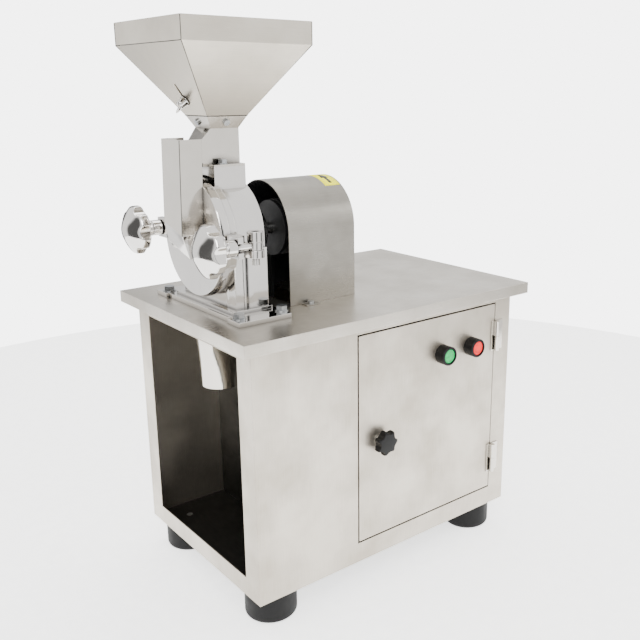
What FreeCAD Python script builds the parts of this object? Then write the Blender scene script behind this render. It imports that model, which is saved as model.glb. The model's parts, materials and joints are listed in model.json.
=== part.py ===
"""Hammer mill on a cabinet stand: a bench pulverizer for grain and seed.

A cast grinding chamber stands on a sheet-metal cabinet. A hopper feeds it through a slanted neck
and a feed box on its front cover, two swing bolts with star knobs clamp the cover, and a motor
in the cabinet drives the spindle by two belts under a guard. Millimetres, +Z up, X along the
long side of the table, the cabinet door facing -Y.

Positions are measured from the point on the floor under the table's middle. frame_x moves that
point, because the clamp knobs stand out past the table and the origin is at the bottom middle
of the whole machine.
"""
import FreeCAD, Part
import math
import os
import re
from types import SimpleNamespace

from FreeCAD import Placement, Rotation, Vector

# ---------------------------------------------------------------- driving dimensions

DIMENSIONS = {
    "frame_x": 9.0,
    # cabinet stand
    "table_length": 520.0,
    "table_width": 360.0,
    "table_top_z": 420.0,
    "table_lip": 17.0,
    "table_sheet": 2.0,
    "sheet": 1.5,
    "cabinet_length": 481.0,
    "cabinet_width": 322.0,
    "foot_tall": 44.0,
    "foot_radius": 37.0,
    "foot_x": 198.0,
    "foot_y": 120.0,
    "stud_radius": 5.0,
    "partition_x": -113.0,
    "opening_low_y": -127.0,
    "opening_high_y": 128.0,
    "opening_low_z": 72.0,
    "opening_high_z": 388.0,
    # cabinet door
    "door_low_x": -69.1,
    "door_high_x": 205.5,
    "door_low_z": 76.9,
    "door_high_z": 390.0,
    "door_gap": 2.4,
    "hinge_gap": 1.5,
    "door_deep": 15.0,
    "hinge_x": 207.25,
    "hinge_out": 5.4,
    "hinge_radius": 3.6,
    "hinge_pin_radius": 2.0,
    "hinge_tall": 48.0,
    "hinge_spread": 105.0,
    "frame_leaf_wide": 16.0,
    "door_leaf_wide": 9.0,
    "latch_x": -30.0,
    "latch_z": 226.5,
    "green_x": 91.0,
    "red_x": 152.0,
    "button_z": 331.8,
    # mill body
    "axis_y": 5.0,
    "axis_z": 522.0,
    "body_front_x": -203.0,
    "body_back_x": -155.0,
    "body_half": 72.0,
    "crown_z": 525.5,
    "flange_low_x": -222.0,
    "flange_high_x": -145.5,
    "flange_half": 117.5,
    "flange_thick": 7.0,
    "ring_radius": 79.5,
    "ring_front_x": -211.7,
    "chamber_radius": 62.0,
    "chamber_back_x": -172.0,
    "pad_top_z": 617.0,
    "pad_low_x": -206.0,
    "pad_high_x": -159.0,
    "pad_half": 36.0,
    "bolt_spread": 105.0,
    "pivot_x": -190.0,
    "lug_top_z": 516.5,
    "bearing_radius": 20.0,
    "bearing_wide": 12.0,
    "spindle_radius": 8.5,
    "hub_back_x": -128.0,
    # cover and feed box
    "cover_front_x": -224.0,
    "cover_back_x": -212.0,
    "cover_radius": 82.0,
    "ear_front_x": -220.0,
    "box_front_x": -255.5,
    "box_low_y": -34.7,
    "box_high_y": 15.5,
    "box_top_z": 654.0,
    "box_lean": 0.058,          # the sides lean, by this much per millimetre of height
    "elbow_top_z": 531.0,
    # hopper
    "hopper_x": -179.0,
    "hopper_half": 93.0,
    "hopper_top_z": 800.0,
    "hopper_band": 29.0,
    "throat_half": 30.0,
    "throat_z": 682.0,
    "neck_half": 21.0,
    "neck_z": 666.0,
    # belt drive
    "guard_low_x": -114.0,
    "guard_high_x": 1.0,
    "guard_radius": 69.0,
    "guard_axis_z": 523.0,
    "pulley_low_x": -100.0,
    "pulley_wide": 38.0,
    "spindle_pulley_radius": 40.0,
    "motor_pulley_radius": 62.0,
    "motor_z": 205.0,
    "belt_deep": 8.0,
    "belt_wide": 12.0,
    "motor_radius": 68.0,
    "motor_low_x": -30.0,
    "motor_high_x": 150.0,
    # discharge spout
    "spout_x": -192.0,
    "spout_half": 27.0,
    "spout_low_z": 305.0,
    "spout_round_z": 309.0,
}

doc = FreeCAD.newDocument("HammerMill")
sheet = doc.addObject("Spreadsheet::Sheet", "Sizes")
for row, (alias, value) in enumerate(DIMENSIONS.items(), start=1):
    sheet.set(f"A{row}", alias)
    sheet.set(f"B{row}", str(value))
    sheet.setAlias(f"B{row}", alias)
doc.recompute()
S = SimpleNamespace(**{alias: float(sheet.get(alias)) for alias in DIMENSIONS})

SUBPARTS = []
WORD = re.compile(r"[a-z_]+")
ALONG = {
    "+X": Rotation(Vector(0, 0, 1), Vector(1, 0, 0)),
    "-X": Rotation(Vector(0, 0, 1), Vector(-1, 0, 0)),
    "+Y": Rotation(Vector(0, 0, 1), Vector(0, 1, 0)),
    "-Y": Rotation(Vector(0, 0, 1), Vector(0, -1, 0)),
    "+Z": Rotation(),
}


# ---------------------------------------------------------------- helpers

def cells(text):
    """Write the sheet's name before each alias in an expression."""
    return WORD.sub(lambda m: f"Sizes.{m[0]}" if m[0] in DIMENSIONS else m[0], str(text))


def bind(item, **expressions):
    """Bind properties of a document object to expressions on the sheet."""
    for prop, text in expressions.items():
        item.setExpression(prop, cells(text))
    return item


def place(item, x, y, z, direction="+Z"):
    """Put an object's own origin at a point and its own Z along a direction."""
    item.Placement = Placement(Vector(), ALONG[direction])
    item.setExpression("Placement.Base.x", cells(f"frame_x + {x}"))
    item.setExpression("Placement.Base.y", cells(y))
    item.setExpression("Placement.Base.z", cells(z))
    return item


def block(name, x, y, z):
    """A box from a (low, high) pair of expressions along each axis."""
    item = doc.addObject("Part::Box", name)
    bind(item, Length=f"({x[1]}) - ({x[0]})", Width=f"({y[1]}) - ({y[0]})",
         Height=f"({z[1]}) - ({z[0]})")
    return place(item, x[0], y[0], z[0])


def rod(name, direction, x, y, z, radius, length):
    """A cylinder that starts at a point and runs along a direction."""
    item = doc.addObject("Part::Cylinder", name)
    bind(item, Radius=radius, Height=length)
    return place(item, x, y, z, direction)


def hexagon(name, direction, x, y, z, radius, length):
    """A hexagonal prism, such as a bolt head or a nut."""
    item = doc.addObject("Part::Prism", name)
    item.Polygon = 6
    bind(item, Circumradius=radius, Height=length)
    return place(item, x, y, z, direction)


def frustum(name, x, y, z_low, z_high, low_half, high_half):
    """An upright square pyramid's slice; halves are half widths at its two ends."""
    item = doc.addObject("Part::Wedge", name)
    tall = f"({z_high}) - ({z_low})"
    bind(item, Xmin=f"-({low_half})", Xmax=low_half, Zmin=f"-({low_half})", Zmax=low_half,
         X2min=f"-({high_half})", X2max=high_half, Z2min=f"-({high_half})", Z2max=high_half,
         Ymin="0", Ymax=tall)
    place(item, x, y, z_low)
    item.Placement.Rotation = Rotation(Vector(1, 0, 0), 90)
    return item


def fuse(name, items):
    """One solid from several objects."""
    item = doc.addObject("Part::MultiFuse", name)
    item.Shapes = items
    item.Refine = True
    return item


def group(name, items):
    """Separate solids that share one sub-part, such as a set of bolts."""
    item = doc.addObject("Part::Compound", name)
    item.Links = items
    return item


def cut(name, base, tools):
    """Take one or more objects away from a base."""
    item = doc.addObject("Part::Cut", name)
    item.Base = base
    item.Tool = tools[0] if len(tools) == 1 else group(name + "_tools", tools)
    item.Refine = True
    return item


def sketch_on(body, role, loops):
    """Draw closed loops on one of a body's own planes.

    A loop is ("circle", x, y, radius) or a list of points, where ("arc", middle, end) in place
    of a point draws an arc.
    """
    sketch = body.newObject("Sketcher::SketchObject", body.Name + "_sketch")
    plane = next(f for f in body.Origin.OriginFeatures if f.Role == role)
    sketch.AttachmentSupport = [(plane, "")]
    sketch.MapMode = "FlatFace"
    for loop in loops:
        if loop[0] == "circle":
            sketch.addGeometry(Part.Circle(Vector(loop[1], loop[2], 0), Vector(0, 0, 1), loop[3]))
            continue
        start = here = Vector(*loop[0], 0)
        for step in loop[1:] + [loop[0]]:
            if step[0] == "arc":
                end = Vector(*step[2], 0)
                sketch.addGeometry(Part.Arc(here, Vector(*step[1], 0), end))
            else:
                end = Vector(*step, 0)
                if end.distanceToPoint(here) > 1e-6:
                    sketch.addGeometry(Part.LineSegment(here, end))
            here = end
        assert here.distanceToPoint(start) < 1e-6
    return sketch


def padded(name, role, loops, length, x, y, z):
    """A body padded from a sketch; its plane's normal is +X on YZ, -Y on XZ and +Z on XY."""
    body = doc.addObject("PartDesign::Body", name)
    pad = body.newObject("PartDesign::Pad", name + "_pad")
    pad.Profile = sketch_on(body, role, loops)
    bind(pad, Length=length)
    return place(body, x, y, z)


def turned(name, direction, profile, x, y, z):
    """A body turned about its own Z from a profile of (radius, height) points."""
    body = doc.addObject("PartDesign::Body", name)
    spin = body.newObject("PartDesign::Revolution", name + "_turn")
    spin.Profile = sketch_on(body, "XZ_Plane", [profile])
    spin.ReferenceAxis = (spin.Profile[0], ["V_Axis"])
    spin.Angle = 360
    return place(body, x, y, z, direction)


def subpart(label, item):
    """Register a finished sub-part under its label."""
    item.Label = label
    SUBPARTS.append(item)
    return item


# ---------------------------------------------------------------- cabinet stand

CABINET_X = ("-cabinet_length / 2", "cabinet_length / 2")
CABINET_Y = ("-cabinet_width / 2", "cabinet_width / 2")
CABINET_Z = ("foot_tall", "table_top_z - table_sheet")
FRONT_Y = ("-cabinet_width / 2", "-cabinet_width / 2 + sheet")
INSIDE_Y = ("-cabinet_width / 2 + sheet", "cabinet_width / 2 - sheet")
FEET = {"front_left": (-1, -1), "front_right": (1, -1), "back_left": (-1, 1),
        "back_right": (1, 1)}
BASE_BOLTS = [(x, f"axis_y + {side} * (flange_half - 18.5)")
              for side in (-1, 1) for x in ("flange_low_x + 7", "flange_high_x - 3.5")]


def table_top():
    """Folded table top with a lip, a discharge hole and a belt slot."""
    slab = block("table_slab", ("-table_length / 2", "table_length / 2"),
                 ("-table_width / 2", "table_width / 2"),
                 ("table_top_z - table_lip", "table_top_z"))
    inside = block("table_inside", ("-table_length / 2 + sheet", "table_length / 2 - sheet"),
                   ("-table_width / 2 + sheet", "table_width / 2 - sheet"),
                   ("table_top_z - table_lip - 1", "table_top_z - table_sheet"))
    discharge = block("table_discharge", ("spout_x - 20", "spout_x + 20"),
                      ("axis_y - 25", "axis_y + 25"), ("table_top_z - 10", "table_top_z + 10"))
    slot = block("table_belt_slot", ("pulley_low_x - 4", "pulley_low_x + pulley_wide + 4"),
                 ("axis_y - 62", "axis_y + 62"), ("table_top_z - 10", "table_top_z + 10"))
    bolts = [rod(f"table_bolt_hole_{i}", "+Z", x, y, "table_top_z - 5", 5.2, 10)
             for i, (x, y) in enumerate(BASE_BOLTS)]
    subpart("table_top", cut("table_top_cut", slab, [inside, discharge, slot] + bolts))


def cabinet_panels():
    """Back, end, front and opening panels, floor and partition of the cabinet."""
    gland = rod("gland_hole", "+Y", 190, "cabinet_width / 2 - 5", 80, 8, 10)
    back = block("back_sheet", CABINET_X, ("cabinet_width / 2 - sheet", "cabinet_width / 2"),
                 CABINET_Z)
    subpart("cabinet_back_panel", cut("back_panel_cut", back, [gland]))
    subpart("cabinet_end_panel", block(
        "end_sheet", ("cabinet_length / 2 - sheet", "cabinet_length / 2"), INSIDE_Y, CABINET_Z))
    front = block("front_sheet", CABINET_X, FRONT_Y, CABINET_Z)
    doorway = block("doorway", ("door_low_x - door_gap", "door_high_x + hinge_gap"),
                    ("-cabinet_width / 2 - 5", "-cabinet_width / 2 + 5"),
                    ("door_low_z - door_gap", "door_high_z + door_gap"))
    subpart("cabinet_front_panel", cut("front_panel_cut", front, [doorway]))
    frame = block("opening_sheet", ("-cabinet_length / 2", "-cabinet_length / 2 + sheet"),
                  INSIDE_Y, CABINET_Z)
    opening = block("opening_hole", ("-cabinet_length / 2 - 5", "-cabinet_length / 2 + 5"),
                    ("opening_low_y", "opening_high_y"), ("opening_low_z", "opening_high_z"))
    subpart("cabinet_opening_frame", cut("opening_frame_cut", frame, [opening]))
    inside_x = ("-cabinet_length / 2 + sheet", "cabinet_length / 2 - sheet")
    floor = block("floor_sheet", inside_x, INSIDE_Y, ("foot_tall", "foot_tall + table_sheet"))
    holes = [rod(f"floor_hole_{n}", "+Z", f"{sx} * foot_x", f"{sy} * foot_y", "foot_tall - 5",
                 "stud_radius", 12) for n, (sx, sy) in FEET.items()]
    subpart("cabinet_floor", cut("floor_cut", floor, holes))
    subpart("partition_panel", block(
        "partition_sheet", ("partition_x", "partition_x + sheet"), INSIDE_Y,
        ("foot_tall + table_sheet", "table_top_z - table_sheet")))


def feet():
    """Four round rubber feet, each held by a nut on a stud that is welded in the floor."""
    tall, radius, edge = S.foot_tall, S.foot_radius, 7.0
    bolts = []
    for n, (sx, sy) in FEET.items():
        profile = [(5.2, 16), (13, 16), (13, 0), (radius - edge, 0),
                   ("arc", (radius - edge * 0.293, edge * 0.293), (radius, edge)),
                   (radius, tall - 2), (radius - 2, tall), (5.2, tall)]
        x, y = f"{sx} * foot_x", f"{sy} * foot_y"
        subpart(f"foot_{n}", turned(f"foot_{n}", "+Z", profile, x, y, 0))
        bolts.append(fuse(f"foot_stud_{n}", [
            hexagon(f"foot_nut_{n}", "+Z", x, y, 9.6, 9.2, 6.4),
            rod(f"foot_shank_{n}", "+Z", x, y, 8, "stud_radius",
                "foot_tall + table_sheet - 8")]))
    subpart("foot_bolts", group("foot_stud_set", bolts))


# ---------------------------------------------------------------- door

def hinges():
    """Two lift-off hinges: pins and lower knuckles on the frame, upper knuckles on the door."""
    axis_y = "-cabinet_width / 2 - hinge_out"
    leaf_y = ("-cabinet_width / 2 - sheet", "-cabinet_width / 2")
    frame_leaves, door_leaves = [], []
    for name, side in (("lower", -1), ("upper", 1)):
        middle = f"(door_low_z + door_high_z) / 2 + {side} * hinge_spread"
        low, high = f"{middle} - hinge_tall / 2", f"{middle} + hinge_tall / 2"
        frame_web = block(f"frame_web_{name}", ("hinge_x", "hinge_x + hinge_radius"),
                          ("-cabinet_width / 2 - hinge_out", "-cabinet_width / 2"),
                          (low, middle))
        door_web = block(f"door_web_{name}", ("hinge_x - hinge_radius", "hinge_x - 1"),
                         ("-cabinet_width / 2 - hinge_out", "-cabinet_width / 2"),
                         (f"{middle} + 0.3", high))
        frame_leaves.append(fuse(f"frame_leaf_{name}", [
            block(f"frame_plate_{name}", ("hinge_x + 1.5", "hinge_x + frame_leaf_wide"), leaf_y,
                  (low, high)),
            rod(f"frame_knuckle_{name}", "+Z", "hinge_x", axis_y, low, "hinge_radius",
                "hinge_tall / 2"),
            rod(f"hinge_pin_{name}", "+Z", "hinge_x", axis_y, middle, "hinge_pin_radius",
                "hinge_tall / 2 - 3"),
            cut(f"frame_web_cut_{name}", frame_web, [
                block(f"frame_web_gap_{name}", ("hinge_x - 1", "hinge_x + 1.5"),
                      ("-cabinet_width / 2 - 1.4", "-cabinet_width / 2 + 1"),
                      (f"{low} - 1", f"{middle} + 1"))])]))
        knuckle = fuse(f"door_knuckle_{name}", [
            rod(f"door_barrel_{name}", "+Z", "hinge_x", axis_y, f"{middle} + 0.3",
                "hinge_radius", "hinge_tall / 2 - 0.3"),
            block(f"door_plate_{name}", ("hinge_x - door_leaf_wide", "hinge_x - 2"), leaf_y,
                  (low, high)), door_web])
        door_leaves.append(cut(f"door_leaf_{name}", knuckle, [
            rod(f"pin_bore_{name}", "+Z", "hinge_x", axis_y, f"{middle} - 1",
                "hinge_pin_radius + 0.08", "hinge_tall / 2 - 1")]))
    subpart("hinge_frame_leaves", group("frame_leaf_pair", frame_leaves))
    subpart("hinge_door_leaves", group("door_leaf_pair", door_leaves))


def cabinet_door():
    """Flush door: a folded tray with holes for the latch and the two buttons."""
    x, z = ("door_low_x", "door_high_x"), ("door_low_z", "door_high_z")
    tray = block("door_tray", x, ("-cabinet_width / 2", "-cabinet_width / 2 + door_deep"), z)
    hollow = block("door_hollow", ("door_low_x + sheet", "door_high_x - sheet"),
                   ("-cabinet_width / 2 + sheet", "-cabinet_width / 2 + door_deep + 1"),
                   ("door_low_z + sheet", "door_high_z - sheet"))
    front = "-cabinet_width / 2 - 5"
    holes = [rod("latch_hole", "+Y", "latch_x", front, "latch_z", 8.1, 12)]
    holes += [rod(f"{n}_hole", "+Y", f"{n}_x", front, "button_z", 11.1, 12)
              for n in ("green", "red")]
    subpart("cabinet_door", cut("door_cut", tray, [hollow] + holes))


def buttons():
    """Start and stop push buttons: a black bezel with its switch body, and a cap inside it."""
    bezel = [(11.3, 9), (11.3, 18), (13.2, 18), (14.5, 16.5), (14.5, 0), (11, 0), (11, -6),
             (14, -6), (14, -40), (3.4, -40), (3.4, -12), (9.4, -12), (9.4, 9)]
    cap = [(0, 16.4), (10.2, 16.4), (10.9, 15.6), (10.9, 13.4), (9, 13.4), (9, -4), (3, -4),
           (3, -16), (0, -16)]
    for name in ("green", "red"):
        at = (f"{name}_x", "-cabinet_width / 2", "button_z")
        subpart(f"{name}_button_bezel", turned(f"{name}_bezel", "-Y", bezel, *at))
        subpart(f"{name}_button", turned(f"{name}_cap", "-Y", cap, *at))


def star(name, direction, profile, at, lobes, orbit, scallop, depth):
    """A turned knob with scallops cut round its rim; orbit and scallop set how deep they go."""
    blank = turned(name + "_blank", direction, profile, *at)
    tools = []
    for i in range(lobes):
        turn = 2 * math.pi * (i + 0.5) / lobes
        tool = doc.addObject("Part::Cylinder", f"{name}_scallop_{i}")
        tool.Radius, tool.Height = scallop, depth[1] - depth[0]
        own = Vector(orbit * math.cos(turn), orbit * math.sin(turn), depth[0])
        shift = ALONG[direction].multVec(own)
        place(tool, f"{at[0]} + {shift.x:.6f}", f"{at[1]} + {shift.y:.6f}",
              f"{at[2]} + {shift.z:.6f}", direction)
        tools.append(tool)
    return cut(name, blank, tools)


def latch():
    """Quarter-turn latch: lobed knob and spindle outside, cam inside, cam hanging down."""
    at = ("latch_x", "-cabinet_width / 2", "latch_z")
    profile = [(0, 5), (12, 5), (17.5, 7), (19.3, 9), (19.3, 15), (18, 17.6), (12, 18.8),
               (0, 18.8)]
    subpart("latch_knob", star("latch_star", "-Y", profile, at, 7, 22.5, 6.5, (3, 22)))
    spindle = [(0, 5), (6, 5), (6, 3), (10, 3), (10, 0.4), (8, 0.4), (8, -20), (5, -20),
               (5, -27), (0, -27)]
    subpart("latch_spindle", turned("latch_spindle_turn", "-Y", spindle, *at))
    arm = block("cam_arm", ("latch_x - 8", "latch_x + 8"),
                ("-cabinet_width / 2 + 20", "-cabinet_width / 2 + 24"),
                ("latch_z - 54", "latch_z + 9"))
    bore = rod("cam_bore", "+Y", "latch_x", "-cabinet_width / 2 + 15", "latch_z", 5, 20)
    subpart("latch_cam", cut("cam_cut", arm, [bore]))


# ---------------------------------------------------------------- mill body

def mill_body():
    """Cast housing: foot flange, rounded columns, chamber, top pad, lugs and bearing hub."""
    half, crown = S.body_half, S.crown_z
    foot_z = "table_top_z + flange_thick"
    tombstone = [(-half, S.table_top_z), (half, S.table_top_z), (half, crown),
                 ("arc", (0, crown + half), (-half, crown))]
    solids = [
        block("body_flange", ("flange_low_x", "flange_high_x"),
              ("axis_y - flange_half", "axis_y + flange_half"), ("table_top_z", foot_z)),
        block("body_plinth", ("body_front_x - 10", "body_back_x + 4"),
              ("axis_y - body_half - 8", "axis_y + body_half + 8"), (foot_z, foot_z + " + 4")),
        padded("body_tombstone", "YZ_Plane", [tombstone], "body_back_x - body_front_x",
               "body_front_x", "axis_y", 0),
        rod("body_ring", "+X", "ring_front_x", "axis_y", "axis_z", "ring_radius",
            "body_front_x - ring_front_x + 2"),
        block("body_pad", ("pad_low_x", "pad_high_x"), ("axis_y - pad_half", "axis_y + pad_half"),
              ("axis_z + 50", "pad_top_z")),
        rod("body_hub", "+X", "body_back_x - 2", "axis_y", "axis_z", 32,
            "hub_back_x - body_back_x + 2"),
    ]
    for name, side in (("near", -1), ("far", 1)):
        column_y = f"axis_y + {side} * (body_half - 22)"
        bolt_y = f"axis_y + {side} * bolt_spread"
        wall_y = ("axis_y - body_half - 4.5", "axis_y - 60") if side < 0 else \
            ("axis_y + 60", "axis_y + body_half + 4.5")
        lug_y = ("axis_y - bolt_spread", "axis_y - 60") if side < 0 else \
            ("axis_y + 60", "axis_y + bolt_spread")
        ear_y = ("axis_y - 97", "axis_y - 60") if side < 0 else ("axis_y + 60", "axis_y + 97")
        lobe_y = ("axis_y - flange_half", "axis_y - flange_half + 30") if side < 0 else \
            ("axis_y + flange_half - 30", "axis_y + flange_half")
        solids += [
            rod(f"column_{name}", "+Z", "body_front_x + 26", column_y, "table_top_z", 26.5,
                "axis_z - table_top_z - 12"),
            ball(f"column_top_{name}", "body_front_x + 26", column_y, "axis_z - 12", 26.5),
            block(f"column_wall_{name}", ("body_front_x + 26", "body_back_x"), wall_y,
                  ("table_top_z", "lug_top_z - 5")),
            block(f"lug_{name}", ("pivot_x - 11", "pivot_x + 11"), lug_y,
                  ("lug_top_z - 10", "lug_top_z")),
            rod(f"lug_end_{name}", "+Z", "pivot_x", bolt_y, "lug_top_z - 10", 11, 10),
            block(f"ring_ear_{name}", ("ring_front_x", "body_front_x + 2"), ear_y,
                  ("axis_z - 13", "axis_z + 13")),
            block(f"flange_lobe_{name}", ("flange_low_x - 4", "flange_low_x + 10"), lobe_y,
                  ("table_top_z", foot_z)),
        ]
    body = fuse("body_solid", solids)
    tools = [
        rod("body_chamber", "+X", "ring_front_x - 1", "axis_y", "axis_z", "chamber_radius",
            "chamber_back_x - ring_front_x + 1"),
        rod("body_bearing_bore", "+X", "chamber_back_x + 4", "axis_y", "axis_z",
            "bearing_radius", "hub_back_x - chamber_back_x + 10"),
        rod("body_shaft_hole", "+X", "chamber_back_x - 5", "axis_y", "axis_z", 11, 20),
        block("body_discharge", ("chamber_back_x - 27", "chamber_back_x - 4"),
              ("axis_y - 22", "axis_y + 22"), ("table_top_z - 1", "axis_z - 45")),
    ]
    for i, (x, y) in enumerate(BASE_BOLTS):
        tools.append(rod(f"base_hole_{i}", "+Z", x, y, "table_top_z - 5", 5.2, 20))
    for name, side in (("near", -1), ("far", 1)):
        tools.append(rod(f"pivot_hole_{name}", "+Z", "pivot_x",
                         f"axis_y + {side} * bolt_spread", "lug_top_z - 15", 5.03, 20))
    subpart("mill_body", cut("body_cut", body, tools))


def ball(name, x, y, z, radius):
    """A sphere about a point."""
    item = doc.addObject("Part::Sphere", name)
    bind(item, Radius=radius)
    return place(item, x, y, z)


def base_bolts():
    """Four hexagon bolts that hold the housing to the table."""
    top = "table_top_z + flange_thick"
    bolts = []
    for i, (x, y) in enumerate(BASE_BOLTS):
        bolts.append(fuse(f"base_bolt_{i}", [
            rod(f"base_washer_{i}", "+Z", x, y, top, 9, 1.5),
            hexagon(f"base_head_{i}", "+Z", x, y, top + " + 1.5", 8, 6),
            rod(f"base_shank_{i}", "+Z", x, y, "table_top_z - 14", 5, "flange_thick + 16"),
            hexagon(f"base_nut_{i}", "+Z", x, y, "table_top_z - table_sheet - 8", 9.2, 8)]))
    subpart("base_bolts", group("base_bolt_set", bolts))


def bearings():
    """Two ball bearings and the cap that closes the hub."""
    wide, outer, inner = S.bearing_wide, S.bearing_radius, S.spindle_radius
    ring = [(inner + 0.05, 0), (outer, 0), (outer, wide), (inner + 0.05, wide)]
    at = ("axis_y", "axis_z")
    subpart("front_bearing", turned("front_bearing_turn", "+X", ring, "chamber_back_x + 4", *at))
    subpart("rear_bearing", turned("rear_bearing_turn", "+X", ring,
                                   "hub_back_x - bearing_wide", *at))
    cap = [(inner + 1.5, 0), (32, 0), (32, 4), (28, 6), (inner + 1.5, 6)]
    subpart("bearing_cap", turned("bearing_cap_turn", "+X", cap, "hub_back_x", *at))


def screen_ring():
    """Sizing screen round the rotor, inside the chamber wall."""
    outer = S.chamber_radius - 0.3
    ring = [(outer - 1.5, 0), (outer, 0), (outer, 33), (outer - 1.5, 33)]
    subpart("screen_ring", turned("screen_turn", "+X", ring, "chamber_back_x - 36", "axis_y",
                                  "axis_z"))


def discharge_spout():
    """Square-to-round spout under the table, with a flange at its top."""
    half, wall = S.spout_half, S.sheet

    def lofted(name, size, low, high):
        body = doc.addObject("PartDesign::Body", name)
        loft = body.newObject("PartDesign::AdditiveLoft", name + "_loft")
        square = [(-size, -size), (size, -size), (size, size), (-size, size)]
        loft.Profile = sketch_on(body, "XY_Plane", [("circle", 0, 0, size)])
        upper = sketch_on(body, "XY_Plane", [square])
        upper.AttachmentOffset = Placement(Vector(0, 0, high - low), Rotation())
        loft.Sections = [upper]
        loft.Ruled = True
        return place(body, "spout_x", "axis_y", low)

    low, top = S.spout_round_z, S.table_top_z - S.table_sheet
    outer = fuse("spout_outer", [
        lofted("spout_shell", half, low, top),
        rod("spout_round", "+Z", "spout_x", "axis_y", "spout_low_z", "spout_half",
            "spout_round_z - spout_low_z"),
        block("spout_flange", ("spout_x - 36", "spout_x + 36"), ("axis_y - 36", "axis_y + 36"),
              ("table_top_z - table_sheet - sheet", "table_top_z - table_sheet"))])
    subpart("discharge_spout", cut("spout_cut", outer, [
        lofted("spout_hollow", half - wall, low, top + 1),
        rod("spout_bore", "+Z", "spout_x", "axis_y", "spout_low_z - 1", "spout_half - sheet",
            "spout_round_z - spout_low_z + 1")]))


# ---------------------------------------------------------------- cover, feed box and clamps

def chamber_cover():
    """Round cover with slotted ears, a feed elbow on its face and a port behind it."""
    rim = S.cover_radius
    disc = [(0, 0), (rim, 0), (rim, 8), (rim - 2, 12), (0, 12)]
    solids = [turned("cover_disc", "-X", disc, "cover_back_x", "axis_y", "axis_z")]
    for name, side in (("near", -1), ("far", 1)):
        ear_y = ("axis_y - bolt_spread - 8", "axis_y - 60") if side < 0 else \
            ("axis_y + 60", "axis_y + bolt_spread + 8")
        solids.append(block(f"cover_ear_{name}", ("ear_front_x", "cover_back_x"), ear_y,
                            ("axis_z - 14", "axis_z + 14")))
    elbow = elbow_solid("elbow_outer", 0)
    tools = [elbow_solid("elbow_hollow", 3),
             block("cover_port", ("cover_front_x - 2", "cover_back_x + 1"),
                   (-22, 18), ("axis_z - 15", "axis_z + 15"))]
    for name, side in (("near", -1), ("far", 1)):
        slot_y = ("axis_y - bolt_spread - 20", "axis_y - bolt_spread + 6") if side < 0 else \
            ("axis_y + bolt_spread - 6", "axis_y + bolt_spread + 20")
        tools.append(block(f"ear_slot_{name}", ("ear_front_x - 5", "cover_back_x + 5"), slot_y,
                           ("axis_z - 6.2", "axis_z + 6.2")))
    subpart("chamber_cover", cut("cover_cut", fuse("cover_solid", solids + [elbow]), tools))


def side_y(high, z):
    """Where the feed box's near or far side stands at a height."""
    edge = S.box_high_y if high else S.box_low_y
    return edge + S.box_lean * (S.box_top_z - z)


def elbow_solid(name, wall):
    """Loft between two side profiles of the feed elbow, drawn in by a wall thickness.

    The far side stands higher than the near one, so the elbow drains towards the near side.
    """
    near_top, far_top = S.elbow_top_z, S.elbow_top_z + 14.0
    sides = ((side_y(False, near_top) + wall, near_top, 9.0, 31.0),
             (side_y(True, far_top) - wall, far_top, 4.5, 26.0))
    back = S.cover_front_x + (1 if wall else 2)
    front = S.box_front_x + wall
    wires = []
    for y, crease, step, drop in sides:
        top = crease + (1 if wall else 0)
        corners = [(back, top), (front, top), (front + step, crease - drop + wall),
                   (back, crease - drop - 12 + wall)]
        points = [Vector(S.frame_x + x, y, z) for x, z in corners]
        wires.append(Part.makePolygon(points + points[:1]))
    item = doc.addObject("Part::Feature", name)
    item.Shape = Part.makeLoft(wires, True, True)
    item.Placement = Placement()
    return item


def feed_box():
    """Tall sheet-metal box on the elbow, open at its top and at the back where grain enters."""
    low, top, wall = S.elbow_top_z, S.box_top_z, S.sheet
    far_low = low + 14.0
    outline = [(side_y(False, low), low), (side_y(True, far_low), far_low),
               (side_y(True, top), top), (side_y(False, top), top)]
    inside = [(side_y(False, low - 30) + wall, low - 30), (side_y(True, low - 30) - wall, low - 30),
              (side_y(True, top + 1) - wall, top + 1), (side_y(False, top + 1) + wall, top + 1)]
    deep = "cover_front_x - box_front_x"
    outer = padded("box_outer", "YZ_Plane", [outline], deep, "box_front_x", 0, 0)
    inner = padded("box_inner", "YZ_Plane", [inside], deep + " - 2 * sheet",
                   "box_front_x + sheet", 0, 0)
    back = block("box_back", ("cover_front_x - sheet - 1", "cover_front_x + 1"),
                 ("box_low_y + 5", "box_high_y - sheet"), (612, "box_top_z + 1"))
    subpart("feed_box", cut("box_cut", outer, [inner, back]))


def stator_ring():
    """Toothed ring on the inside of the cover that faces the rotor."""
    ring = [(34, 0), (50, 0), (50, 6), (34, 6)]
    blank = turned("stator_blank", "+X", ring, "cover_back_x", "axis_y", "axis_z")
    gaps = []
    for i in range(12):
        turn = math.radians(30 * i)
        gaps.append(rod(f"stator_gap_{i}", "+X", "cover_back_x + 3",
                        f"axis_y + {42 * math.cos(turn):.6f}",
                        f"axis_z + {42 * math.sin(turn):.6f}", 4.5, 5))
    subpart("stator_ring", cut("stator_cut", blank, gaps))


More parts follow.
